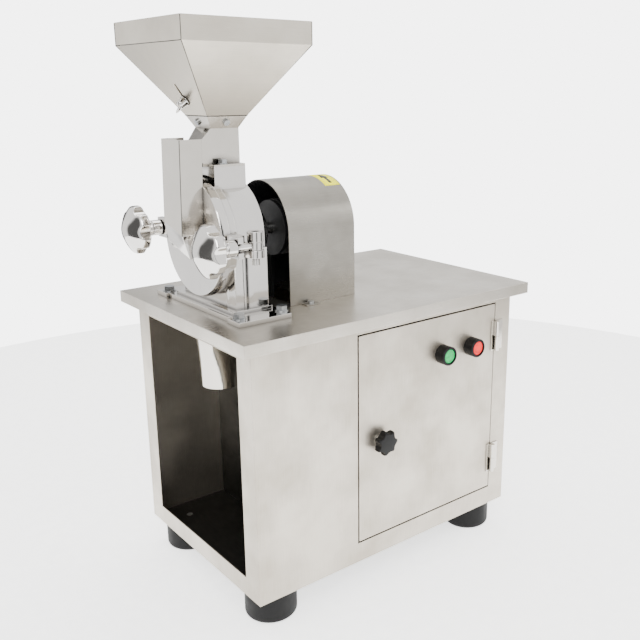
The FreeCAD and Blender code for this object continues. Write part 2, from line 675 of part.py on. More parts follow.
def clamps():
    """Two swing bolts with their pivot screws, collars and star knobs."""
    knob = [(5.1, 0), (11.5, 0), (12.5, 11), (20, 12), (34, 14), (34.5, 16), (34.5, 25),
            (31, 30), (21, 37), (10, 42.2), (0, 43.6), (0, 26), (5.1, 26)]
    collar = [(5.1, 0), (10.5, 0), (11, 1), (11, 12), (10.5, 13), (5.1, 13)]
    for name, side in (("near", -1), ("far", 1)):
        y = f"axis_y + {side} * bolt_spread"
        eye = rod(f"{name}_eye", "+Z", "pivot_x", y, "axis_z - 5.2", 10, 10.4)
        shank = rod(f"{name}_shank", "-X", "pivot_x - 4", y, "axis_z", 4.9, 64)
        bore = rod(f"{name}_eye_bore", "+Z", "pivot_x", y, "axis_z - 10", 5.06, 20)
        subpart(f"{name}_swing_bolt", cut(f"{name}_bolt_cut", fuse(
            f"{name}_bolt_solid", [eye, shank]), [bore]))
        head = rod(f"{name}_screw_head", "+Z", "pivot_x", y, "axis_z + 5.5", 10.5, 13)
        socket = hexagon(f"{name}_screw_socket", "+Z", "pivot_x", y, "axis_z + 11", 5.5, 10)
        subpart(f"{name}_pivot_screw", cut(f"{name}_screw_cut", fuse(f"{name}_screw_solid", [
            head, rod(f"{name}_screw_shank", "+Z", "pivot_x", y, "lug_top_z - 20", 5, 31.5)]),
            [socket]))
        subpart(f"{name}_clamp_collar", turned(f"{name}_collar_turn", "-X", collar,
                                               "ear_front_x - 1.2", y, "axis_z"))
        subpart(f"{name}_star_knob", star(f"{name}_star", "-X", knob,
                                          ("ear_front_x - 1.2 - 13.2", y, "axis_z"),
                                          6, 41, 12.5, (11.6, 50)))


# ---------------------------------------------------------------- hopper and neck

def hopper():
    """Square hopper: an upright rim band over a pyramid, with a slot for the gate's stud."""
    band_z = "hopper_top_z - hopper_band"
    at = ("hopper_x", "axis_y")
    outer = fuse("hopper_outer", [
        frustum("hopper_band_outer", *at, band_z, "hopper_top_z", "hopper_half", "hopper_half"),
        frustum("hopper_cone_outer", *at, "throat_z", band_z, "throat_half", "hopper_half")])
    slope = (S.hopper_half - S.throat_half) / (S.hopper_top_z - S.hopper_band - S.throat_z)
    inner = fuse("hopper_inner", [
        frustum("hopper_band_inner", *at, f"{band_z}", "hopper_top_z + 1",
                "hopper_half - sheet", "hopper_half - sheet"),
        frustum("hopper_cone_inner", *at, "throat_z - 1", band_z,
                f"throat_half - sheet - {slope:.6f}", "hopper_half - sheet")])
    slot = tilted_block("gate_slot", (-2.6, 2.6), (-25, 3.5), (-8, 8))
    subpart("hopper", cut("hopper_cut", outer, [inner, slot]))


def gate_frame():
    """Point and turn of the hopper's -X wall at the stud, with local Z out of the wall."""
    rise = S.hopper_top_z - S.hopper_band - S.throat_z
    run = S.hopper_half - S.throat_half
    along = 24.0
    length = math.hypot(rise, run)
    point = Vector(S.frame_x + S.hopper_x - S.throat_half - along * run / length,
                   S.axis_y, S.throat_z + along * rise / length)
    outward = Vector(-rise, 0, -run)
    return Placement(point, Rotation(Vector(0, 1, 0), Vector(run, 0, -rise), outward, "ZXY"))


def tilted_block(name, across, along, out):
    """A box in the hopper wall's own frame: across the wall, along it and out of it."""
    item = doc.addObject("Part::Box", name)
    item.Length, item.Width, item.Height = (p[1] - p[0] for p in (across, along, out))
    item.Placement = gate_frame().multiply(Placement(Vector(across[0], along[0], out[0]),
                                                     Rotation()))
    return item


def tilted_rod(name, out, radius):
    """A cylinder along the hopper wall's outward direction, centred on the stud."""
    item = doc.addObject("Part::Cylinder", name)
    item.Radius, item.Height = radius, out[1] - out[0]
    item.Placement = gate_frame().multiply(Placement(Vector(0, 0, out[0]), Rotation()))
    return item


def feed_gate():
    """Sliding plate inside the hopper's wall, its stud and the wing nut that clamps it."""
    plate = tilted_block("gate_plate", (-20, 20), (-28, 30), (-4.2, -2.2))
    stud = tilted_rod("gate_stud", (-3, 12), 2.2)
    subpart("feed_gate", fuse("gate_solid", [plate, stud]))
    hub = tilted_rod("wing_hub", (0.4, 8), 5)
    wings = [tilted_block("wing_left", (-19, -3.5), (-1.5, 1.5), (2.5, 13)),
             tilted_block("wing_right", (3.5, 19), (-1.5, 1.5), (2.5, 13))]
    washer = tilted_rod("wing_washer", (0.4, 2), 7)
    subpart("wing_nut", cut("wing_cut", fuse("wing_solid", [hub, washer] + wings),
                            [tilted_rod("wing_bore", (-1, 20), 2.28)]))


def hopper_collar():
    """Short flared collar between the hopper and the neck."""
    at = ("hopper_x", "axis_y")
    outer = frustum("collar_outer", *at, "neck_z", "throat_z", "neck_half", "throat_half")
    inner = frustum("collar_inner", *at, "neck_z", "throat_z", "neck_half - sheet",
                    "throat_half - sheet")
    subpart("hopper_collar", cut("collar_cut", outer, [inner]))
    screws = []
    for i, (turn, shift) in enumerate(((0, 4), (90, 0), (180, -4), (270, 0))):
        screw = doc.addObject("Part::Cylinder", f"collar_screw_{i}")
        screw.Radius, screw.Height = 4.2, 3
        lean = math.degrees(math.atan2(S.throat_half - S.neck_half, S.throat_z - S.neck_z))
        facing = Rotation(Vector(0, 0, 1), turn).multiply(Rotation(Vector(0, 1, 0),
                                                                   -(90 + lean)))
        middle = (S.throat_half + S.neck_half) / 2
        spot = Rotation(Vector(0, 0, 1), turn).multVec(Vector(-middle, shift, 0))
        centre = Vector(S.frame_x + S.hopper_x, S.axis_y,
                        (S.throat_z + S.neck_z) / 2)
        screw.Placement = Placement(centre + spot, facing)
        screws.append(screw)
    subpart("collar_screws", group("collar_screw_set", screws))


NECK = SimpleNamespace(mouth_x=-234.0, lip_z=632.0, floor_z=622.0, far_y=13.0)


def neck_solid(name, wall):
    """The neck's outer form, or its hollow when drawn in by a wall.

    A straight shaft under the collar joined to a slanted chute that ends in the feed box.
    """
    x0, x1 = S.hopper_x - S.neck_half + wall, S.hopper_x + S.neck_half - wall
    y0, y1 = S.axis_y - S.neck_half + wall, S.axis_y + S.neck_half - wall
    grow = 1.0 if wall else 0.0
    mouth = NECK.mouth_x - grow
    drop = S.neck_z - NECK.lip_z
    bottom = S.pad_top_z + (4.5 if wall else 0.0)
    floor = NECK.floor_z + wall
    near = [(x1, S.neck_z + grow), (x0, S.neck_z + grow), (x0, S.neck_z - wall * 0.7),
            (mouth, NECK.lip_z - wall * 0.7 - grow * drop / (x0 - mouth)), (mouth, floor),
            (x0 - 2, floor), (x1, bottom + 26.0)]
    if not wall:
        near[-2:] = [(x0 - 14, floor), (x0 - 14, bottom), (x1, bottom)]
    prism = padded(name + "_prism", "XZ_Plane", [near], f"{y1 - y0:.6f}", 0, y1, 0)
    far = [(mouth - 5, NECK.far_y - wall), (S.cover_front_x - 1, NECK.far_y - wall),
           (x0, y1), (x0, y1 + 20), (mouth - 5, y1 + 20)]
    taper = padded(name + "_taper", "XY_Plane", [far], 80, 0, 0, 600)
    return cut(name, prism, [taper])


def feed_neck():
    """Welded neck: shaft, slanted chute and the plate that bolts on the housing's pad."""
    plate = block("neck_plate", ("pad_low_x", "pad_high_x"),
                  ("axis_y - pad_half", "axis_y + pad_half"), ("pad_top_z", "pad_top_z + 3"))
    subpart("feed_neck", cut("neck_cut", fuse("neck_fused", [neck_solid("neck_outer", 0), plate]),
                             [neck_solid("neck_inner", S.sheet)]))
    bolts = []
    for i, side in enumerate((-1, 1)):
        y = f"axis_y + {side} * (pad_half - 7.5)"
        bolts.append(fuse(f"neck_bolt_{i}", [
            hexagon(f"neck_bolt_head_{i}", "+Z", "hopper_x - 10", y, "pad_top_z + 4.2", 6.4, 5.2),
            rod(f"neck_bolt_washer_{i}", "+Z", "hopper_x - 10", y, "pad_top_z + 3", 6.8, 1.4)]))
    subpart("neck_bolts", group("neck_bolt_set", bolts))


# ---------------------------------------------------------------- rotor and belt drive

def rotor():
    """Spindle with its disc, four hammers, nut and pulley."""
    at = ("axis_y", "axis_z")
    radius = S.spindle_radius
    length = S.pulley_low_x + S.pulley_wide + 4 - S.chamber_back_x + 24
    shaft = [(0, 0), (6, 0), (6, 12), (radius, 12), (radius, length), (0, length)]
    subpart("spindle", turned("spindle_turn", "+X", shaft, "chamber_back_x - 24", *at))
    disc = [(6.0, 0), (52, 0), (52, 5), (16, 5), (16, 7), (6.0, 7)]
    subpart("rotor_disc", turned("disc_turn", "+X", disc, "chamber_back_x - 19", *at))
    hammers = []
    for i in range(4):
        turn = math.radians(90 * i + 45)
        hammer = doc.addObject("Part::Box", f"hammer_{i}")
        hammer.Length, hammer.Width, hammer.Height = 11, 26, 9
        face = Vector(S.frame_x + S.chamber_back_x - 30, S.axis_y, S.axis_z)
        spin = Rotation(Vector(1, 0, 0), math.degrees(turn))
        hammer.Placement = Placement(face + spin.multVec(Vector(0, 31, -4.5)), spin)
        hammers.append(hammer)
    subpart("rotor_hammers", group("hammer_set", hammers))
    subpart("spindle_nut", cut("nut_cut", hexagon(
        "nut_hexagon", "+X", "chamber_back_x - 24", *at, 10, 5),
        [rod("nut_bore", "+X", "chamber_back_x - 25", *at, 6, 8)]))


def pulley(label, radius, bore, z):
    """Two-groove belt pulley."""
    wide, groove, deep = S.pulley_wide, S.belt_wide, S.belt_deep
    gap = (wide - 2 * groove) / 3
    outline = [(bore, 0), (radius, 0)]
    for i in range(2):
        low = gap + i * (groove + gap)
        outline += [(radius, low), (radius - deep - 2, low + 2.2),
                    (radius - deep - 2, low + groove - 2.2), (radius, low + groove)]
    outline += [(radius, wide), (bore, wide)]
    subpart(label, turned(label + "_turn", "+X", outline, "pulley_low_x", "axis_y", z))


def belts():
    """Two closed belts from the motor pulley to the spindle pulley."""
    wide, groove, deep = S.pulley_wide, S.belt_wide, S.belt_deep
    gap = (wide - 2 * groove) / 3
    span = S.axis_z - S.motor_z
    loops = []
    for inset in (0.0, deep):
        upper = S.spindle_pulley_radius + 1.0 - inset
        lower = S.motor_pulley_radius + 1.0 - inset
        lean = math.asin((lower - upper) / span)
        side, lift = math.cos(lean), math.sin(lean)
        loops.append([(-lower * side, lower * lift),
                      ("arc", (0, -lower), (lower * side, lower * lift)),
                      (upper * side, span + upper * lift),
                      ("arc", (0, span + upper), (-upper * side, span + upper * lift))])
    pair = [padded(f"belt_{i}", "YZ_Plane", loops, groove - 5.6,
                   f"pulley_low_x + {gap + i * (groove + gap) + 2.8:.6f}", "axis_y", "motor_z")
            for i in range(2)]
    subpart("drive_belts", group("belt_pair", pair))


def belt_guard():
    """Round-topped hood over the belts, open to the front, with foot tabs and screws."""
    outer, inner = S.guard_radius, S.guard_radius - S.sheet
    base, axis_z = S.table_top_z, S.guard_axis_z

    def arch(radius, low):
        return [(-radius, low), (radius, low), (radius, axis_z),
                ("arc", (0, axis_z + radius), (-radius, axis_z))]

    hood = padded("guard_hood", "YZ_Plane", [arch(outer, base)], "guard_high_x - guard_low_x",
                  "guard_low_x", "axis_y", 0)
    hollow = padded("guard_hollow", "YZ_Plane", [arch(inner, base - 1)],
                    "guard_high_x - guard_low_x - sheet + 1", "guard_low_x - 1", "axis_y", 0)
    shell = cut("guard_shell", hood, [hollow])
    tabs, screws = [], []
    for name, side in (("near", -1), ("far", 1)):
        y = ("axis_y - guard_radius - 14", "axis_y - guard_radius + sheet") if side < 0 else \
            ("axis_y + guard_radius - sheet", "axis_y + guard_radius + 14")
        tabs.append(block(f"guard_tab_{name}", (-95, -73), y, ("table_top_z",
                                                               "table_top_z + sheet")))
        screw_y = f"axis_y + {side} * (guard_radius + 7.5)"
        screws.append(rod(f"guard_screw_{name}", "+Z", -84, screw_y, "table_top_z + sheet",
                          4.5, 3.5))
    subpart("belt_guard", fuse("guard_fused", [shell] + tabs))
    subpart("guard_screws", group("guard_screw_pair", screws))


def motor():
    """Foot-mounted motor with its shaft, and the stand that carries it."""
    length = S.motor_high_x - S.motor_low_x
    radius = S.motor_radius
    shell = [(9.5, 0), (radius - 12, 0), (radius, 12), (radius, length - 30),
             (radius - 4, length - 28), (radius - 4, length - 6), (radius - 10, length),
             (0, length), (0, length - 20), (9.5, length - 20)]
    case = fuse("motor_fused", [
        turned("motor_case", "+X", shell, "motor_low_x", "axis_y", "motor_z"),
        block("motor_foot_near", ("motor_low_x + 20", "motor_high_x - 40"),
              ("axis_y - 60", "axis_y - 30"), ("motor_z - motor_radius - 8", "motor_z - 50")),
        block("motor_foot_far", ("motor_low_x + 20", "motor_high_x - 40"),
              ("axis_y + 30", "axis_y + 60"), ("motor_z - motor_radius - 8", "motor_z - 50")),
        block("motor_terminals", ("motor_low_x + 50", "motor_low_x + 110"),
              ("axis_y + 40", "axis_y + 88"), ("motor_z - 5", "motor_z + 45"))])
    clear = rod("motor_bore", "+X", "motor_low_x - 1", "axis_y", "motor_z", 9.5,
                f"{length - 19:.6f}")
    subpart("motor", cut("motor_cut", case, [clear]))
    start = S.pulley_low_x - 4
    shaft = [(0, 0), (9.45, 0), (9.45, S.motor_low_x + length - 21 - start),
             (0, S.motor_low_x + length - 21 - start)]
    subpart("motor_shaft", turned("motor_shaft_turn", "+X", shaft, "pulley_low_x - 4", "axis_y",
                                  "motor_z"))
    pulley("motor_pulley", S.motor_pulley_radius, 9.45, "motor_z")
    plate_z = ("motor_z - motor_radius - 12", "motor_z - motor_radius - 8")
    solids = [block("mount_plate", ("motor_low_x + 10", "motor_high_x - 30"),
                    ("axis_y - 72", "axis_y + 72"), plate_z)]
    for i, (x, side) in enumerate((x, side) for x in ("motor_low_x + 10", "motor_high_x - 36")
                                  for side in (-1, 1)):
        low = f"axis_y + {side} * 69 - 3"
        solids.append(block(f"mount_leg_{i}", (x, f"{x} + 6"), (low, f"{low} + 6"),
                            ("foot_tall + table_sheet", plate_z[0])))
    subpart("motor_mount", fuse("mount_fused", solids))


def cable_gland():
    """Gland in the back panel where the supply cord leaves the cabinet."""
    profile = [(4, -8), (7.9, -8), (7.9, 0), (11, 0), (11, 5), (8, 7), (7, 14), (4, 14)]
    subpart("cable_gland", turned("gland_turn", "+Y", profile, 190, "cabinet_width / 2", 80))


# ---------------------------------------------------------------- build, check and write

for make in (table_top, cabinet_panels, feet, hinges, cabinet_door, buttons, latch, mill_body,
             base_bolts, bearings, screen_ring, discharge_spout, chamber_cover, feed_box,
             stator_ring, clamps, hopper, feed_gate, hopper_collar, feed_neck, rotor):
    make()
pulley("spindle_pulley", S.spindle_pulley_radius, S.spindle_radius, "axis_z")
for make in (belts, belt_guard, motor, cable_gland):
    make()
doc.recompute()

for item in doc.Objects:
    if "Invalid" in item.State or "Error" in item.State:
        raise RuntimeError(f"{item.Name} did not build: {item.State}")
for item in SUBPARTS:
    if item.Shape.isNull() or not item.Shape.isValid():
        raise RuntimeError(f"{item.Label} has no valid shape")

os.makedirs("parts", exist_ok=True)
for item in SUBPARTS:
    item.Shape.exportStep(f"parts/{item.Label}.step")
    box = item.Shape.BoundBox
    print(f"{item.Label:24s} {len(item.Shape.Solids):2d} solids {item.Shape.Volume:12.1f} mm3  "
          f"x {box.XMin:7.1f} {box.XMax:7.1f}  y {box.YMin:7.1f} {box.YMax:7.1f}  "
          f"z {box.ZMin:6.1f} {box.ZMax:6.1f}")
print(len(SUBPARTS), "sub-parts")
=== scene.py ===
"""Looks of a stainless hammer mill on a cabinet stand.

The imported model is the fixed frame. Each sub-assembly is a class that dresses its own parts in
their finish and builds the pieces that need a finer shape than the frame gives. Lengths are in
metres; a finish states its pattern sizes in millimetres.
"""

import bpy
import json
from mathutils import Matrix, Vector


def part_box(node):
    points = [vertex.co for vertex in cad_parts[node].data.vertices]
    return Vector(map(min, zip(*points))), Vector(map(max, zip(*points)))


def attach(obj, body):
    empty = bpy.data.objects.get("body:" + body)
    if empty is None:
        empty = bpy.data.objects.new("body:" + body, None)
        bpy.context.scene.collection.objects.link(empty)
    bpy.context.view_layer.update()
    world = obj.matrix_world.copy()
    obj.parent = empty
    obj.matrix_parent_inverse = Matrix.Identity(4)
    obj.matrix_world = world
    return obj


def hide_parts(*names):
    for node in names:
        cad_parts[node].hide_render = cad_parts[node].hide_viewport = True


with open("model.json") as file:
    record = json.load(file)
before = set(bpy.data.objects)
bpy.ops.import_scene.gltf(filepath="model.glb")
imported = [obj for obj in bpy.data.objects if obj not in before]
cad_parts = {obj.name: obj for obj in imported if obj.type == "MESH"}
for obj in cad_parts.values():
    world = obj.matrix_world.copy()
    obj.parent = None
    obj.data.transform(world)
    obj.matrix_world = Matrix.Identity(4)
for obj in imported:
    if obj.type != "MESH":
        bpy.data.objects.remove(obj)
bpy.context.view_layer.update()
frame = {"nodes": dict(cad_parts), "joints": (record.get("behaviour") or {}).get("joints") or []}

import json
import logging
import math
from collections import defaultdict
from collections.abc import Callable
from dataclasses import dataclass
from enum import Enum

import bmesh
import bpy
import numpy as np
from mathutils import Matrix, Vector

logging.basicConfig(level=logging.INFO, format="%(message)s")
LOG = logging.getLogger("hammer_mill")

MM = 0.001
SMOOTH_LIMIT = math.radians(32)  # faces that meet more sharply than this keep their edge
SAME_CORNER = 0.02 * MM  # corners nearer than this count as one
WELD_GAP = 0.001 * MM  # vertices nearer than this are merged
DRAWN_OUT = 0.012  # how far a brushed pattern is drawn out along its scratches
GUARD_TAB = 14 * MM  # width of the belt guard's screw tabs, on each side of its arch


class Grain(Enum):
    """The direction that a sheet was brushed in, as a stretch of the pattern's axes."""

    ALONG_X = (DRAWN_OUT, 1.0, 1.0)
    ALONG_Y = (1.0, DRAWN_OUT, 1.0)
    ALONG_Z = (1.0, 1.0, DRAWN_OUT)


class InnerTone(Enum):
    """Whether a finish is drawn black on its inner side."""

    BARE = "bare"
    DARK_INSIDE = "dark inside"


# ---------------------------------------------------------------- small tools

def srgb(code: str) -> tuple[float, float, float, float]:
    """Turn a colour code into linear light.

    Args:
        code: An sRGB colour as "#RRGGBB".

    Returns:
        Red, green, blue and full opacity, linear.
    """
    parts = [int(code[i:i + 2], 16) / 255 for i in (1, 3, 5)]
    light = [p / 12.92 if p <= 0.04045 else ((p + 0.055) / 1.055) ** 2.4 for p in parts]
    return (*light, 1.0)


def add(tree: bpy.types.NodeTree, kind: str, settings: dict | None = None,
        **inputs: object) -> bpy.types.Node:
    """Add one node with its settings and its inputs.

    Args:
        tree: The tree that gets the node.
        kind: The node's type name.
        settings: Properties to set before the inputs.
        **inputs: A value or a socket for each input, named as the socket with _ for a space, or
            as i0, i1 and so on for the input's place.

    Returns:
        The new node.
    """
    made = tree.nodes.new(kind)
    for key, value in (settings or {}).items():
        setattr(made, key, value)
    for key, value in inputs.items():
        place = int(key[1:]) if key[0] == "i" and key[1:].isdigit() else key.replace("_", " ")
        socket = made.inputs[place]
        if isinstance(value, bpy.types.NodeSocket):
            tree.links.new(value, socket)
        else:
            socket.default_value = value
    return made


def soften(item: bpy.types.Object) -> None:
    """Shade a part's curved faces smoothly and keep its edges sharp.

    Args:
        item: A part whose triangles share no corners.
    """
    mesh = item.data
    points = np.empty(len(mesh.vertices) * 3)
    mesh.vertices.foreach_get("co", points)
    keys = np.round(points.reshape(-1, 3) / SAME_CORNER).astype(np.int64)
    faces_at: dict[tuple[int, ...], list[int]] = defaultdict(list)
    normals = np.array([face.normal for face in mesh.polygons])
    areas = np.array([face.area for face in mesh.polygons])
    for face in mesh.polygons:
        for corner in face.vertices:
            faces_at[tuple(keys[corner])].append(face.index)
    limit = math.cos(SMOOTH_LIMIT)
    shaded = []
    for face in mesh.polygons:
        own = normals[face.index]
        for corner in face.vertices:
            near = faces_at[tuple(keys[corner])]
            alike = [i for i in near if normals[i] @ own > limit]
            total = (normals[alike] * areas[alike, None]).sum(axis=0) if alike else own
            size = np.linalg.norm(total)
            shaded.append(tuple(total / size if size > 0 else own))
    mesh.shade_smooth()
    mesh.normals_split_custom_set(shaded)


def shell(name: str, build: Callable[[bmesh.types.BMesh], None], coat: bpy.types.Material,
          smooth: bool = True) -> bpy.types.Object:
    """Make a closed mesh piece at the origin.

    Args:
        name: The piece's name.
        build: Draws the piece in a bmesh, in the row's frame.
        coat: The piece's material.
        smooth: Whether its faces are shaded smooth.

    Returns:
        The new object.
    """
    mesh = bpy.data.meshes.new(name)
    work = bmesh.new()
    build(work)
    bmesh.ops.remove_doubles(work, verts=work.verts, dist=WELD_GAP)
    bmesh.ops.recalc_face_normals(work, faces=work.faces)
    work.to_mesh(mesh)
    work.free()
    if smooth:
        mesh.shade_smooth()
    mesh.materials.append(coat)
    item = bpy.data.objects.new(name, mesh)
    bpy.context.scene.collection.objects.link(item)
    return item


def bead(name: str, path: list[Vector], coat: bpy.types.Material, radius: float = 0.55 * MM,
         sides: int = 8) -> bpy.types.Object:
    """Lay a thin round bead along a path, with its ends closed.

    Args:
        name: The piece's name.
        path: Points in order, in metres.
        coat: The bead's material.
        radius: The bead's radius.
        sides: Sides round the bead.

    Returns:
        The bead.
    """
    def draw(work: bmesh.types.BMesh) -> None:
        """Ring the path, join each ring to the next and close both ends.

        Args:
            work: The bmesh that gets the bead.
        """
        rings = []
        for i, point in enumerate(path):
            ahead = (path[min(i + 1, len(path) - 1)] - path[max(i - 1, 0)]).normalized()
            side = ahead.orthogonal().normalized()
            up = ahead.cross(side)
            rings.append([work.verts.new(point + radius * (
                math.cos(2 * math.pi * k / sides) * side
                + math.sin(2 * math.pi * k / sides) * up)) for k in range(sides)])
        for a, b in zip(rings, rings[1:]):
            twist = min(range(sides), key=lambda n: (a[0].co - b[n].co).length)
            for k in range(sides):
                m = (k + 1) % sides
                work.faces.new((a[k], a[m], b[(m + twist) % sides], b[(k + twist) % sides]))
        for ring in (rings[0], rings[-1]):
            work.faces.new(ring)

    return shell(name, draw, coat)


def grow(name: str, tree: bpy.types.NodeTree, values: dict[str, object]) -> bpy.types.Object:
    """Run a Geometry Nodes tree and keep its result as a plain mesh.

    Args:
        name: The piece's name.
        tree: The tree to run.
        values: A value for each of the tree's named inputs.

    Returns:
        The new object, with no modifier.
    """
    seed = bpy.data.objects.new(name + "_seed", bpy.data.meshes.new(name + "_seed"))
    bpy.context.scene.collection.objects.link(seed)
    modifier = seed.modifiers.new("grow", "NODES")
    modifier.node_group = tree
    for socket in tree.interface.items_tree:
        if socket.in_out == "INPUT" and socket.name in values:
            modifier[socket.identifier] = values[socket.name]
    bpy.context.view_layer.update()
    ready = seed.evaluated_get(bpy.context.evaluated_depsgraph_get())
    mesh = bpy.data.meshes.new_from_object(ready)
    mesh.name = name
    bpy.data.objects.remove(seed)
    item = bpy.data.objects.new(name, mesh)
    bpy.context.scene.collection.objects.link(item)
    return item


def dress(coat: bpy.types.Material, *names: str) -> None:
    """Give parts of the frame their finish and smooth shading.

    Args:
        coat: The material.
        *names: The parts' names.
    """
    for name in names:
        item = frame["nodes"][name]
        item.data.materials.clear()
        item.data.materials.append(coat)
        soften(item)
        LOG.info("dressed %s in %s", name, coat.name)


def settle(item: bpy.types.Object, body: str, slot: str, *stands_for: str) -> None:
    """Tie a built piece to its body and report it.

    Args:
        item: The finished piece.
        body: The body that it moves with.
        slot: Not used.
        *stands_for: The frame's parts that it replaces.
    """
    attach(item, body)
    if stands_for:
        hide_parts(*stands_for)
    LOG.info("built %s on %s, %d faces", item.name, body, len(item.data.polygons))


# ---------------------------------------------------------------- finishes

@dataclass(frozen=True)
class Finish:
    """A material and how its nodes begin and end.

    Attributes:
        name: What the finish is called in a workshop.
    """

    name: str

    def begin(self) -> tuple[bpy.types.NodeTree, bpy.types.Node, bpy.types.NodeSocket]:
        """Start an empty material.

        Returns:
            Its tree, its shader and the object coordinates.
        """
        material = bpy.data.materials.new(self.name)
        material.use_nodes = True
        tree = material.node_tree
        tree.nodes.clear()
        shader = add(tree, "ShaderNodeBsdfPrincipled")
        output = add(tree, "ShaderNodeOutputMaterial")
        tree.links.new(shader.outputs[0], output.inputs[0])
        return tree, shader, add(tree, "ShaderNodeTexCoord").outputs["Object"]

    def speckle(self, tree: bpy.types.NodeTree, place: bpy.types.NodeSocket, size_mm: float,
                detail: float = 3.0, stretch: tuple[float, ...] = (1, 1, 1)
                ) -> bpy.types.NodeSocket:
        """Noise whose features have a real size.

        Args:
            tree: The material's tree.
            place: Object coordinates.
            size_mm: The width of a feature.
            detail: How many finer layers it has.
            stretch: A factor for each axis; a small one draws the pattern out.

        Returns:
            The noise's value from 0 to 1.
        """
        scaled = add(tree, "ShaderNodeMapping", Vector=place, Scale=stretch)
        noise = add(tree, "ShaderNodeTexNoise", Vector=scaled.outputs[0],
                    Scale=1000 / size_mm, Detail=detail, Roughness=0.6)
        return noise.outputs[0]

    def between(self, tree: bpy.types.NodeTree, value: bpy.types.NodeSocket, low: float,
                high: float, start: float = 0.3, end: float = 0.7) -> bpy.types.NodeSocket:
        """Spread a 0 to 1 value between two numbers."""
        return add(tree, "ShaderNodeMapRange", Value=value, From_Min=start, From_Max=end,
                   To_Min=low, To_Max=high).outputs[0]

    def tint(self, tree: bpy.types.NodeTree, value: bpy.types.NodeSocket, dark: str,
             light: str) -> bpy.types.NodeSocket:
        """Blend two colours by a 0 to 1 value."""
        blend = add(tree, "ShaderNodeMix", {"data_type": "RGBA"}, i0=value, i6=srgb(dark),
                    i7=srgb(light))
        return blend.outputs[2]


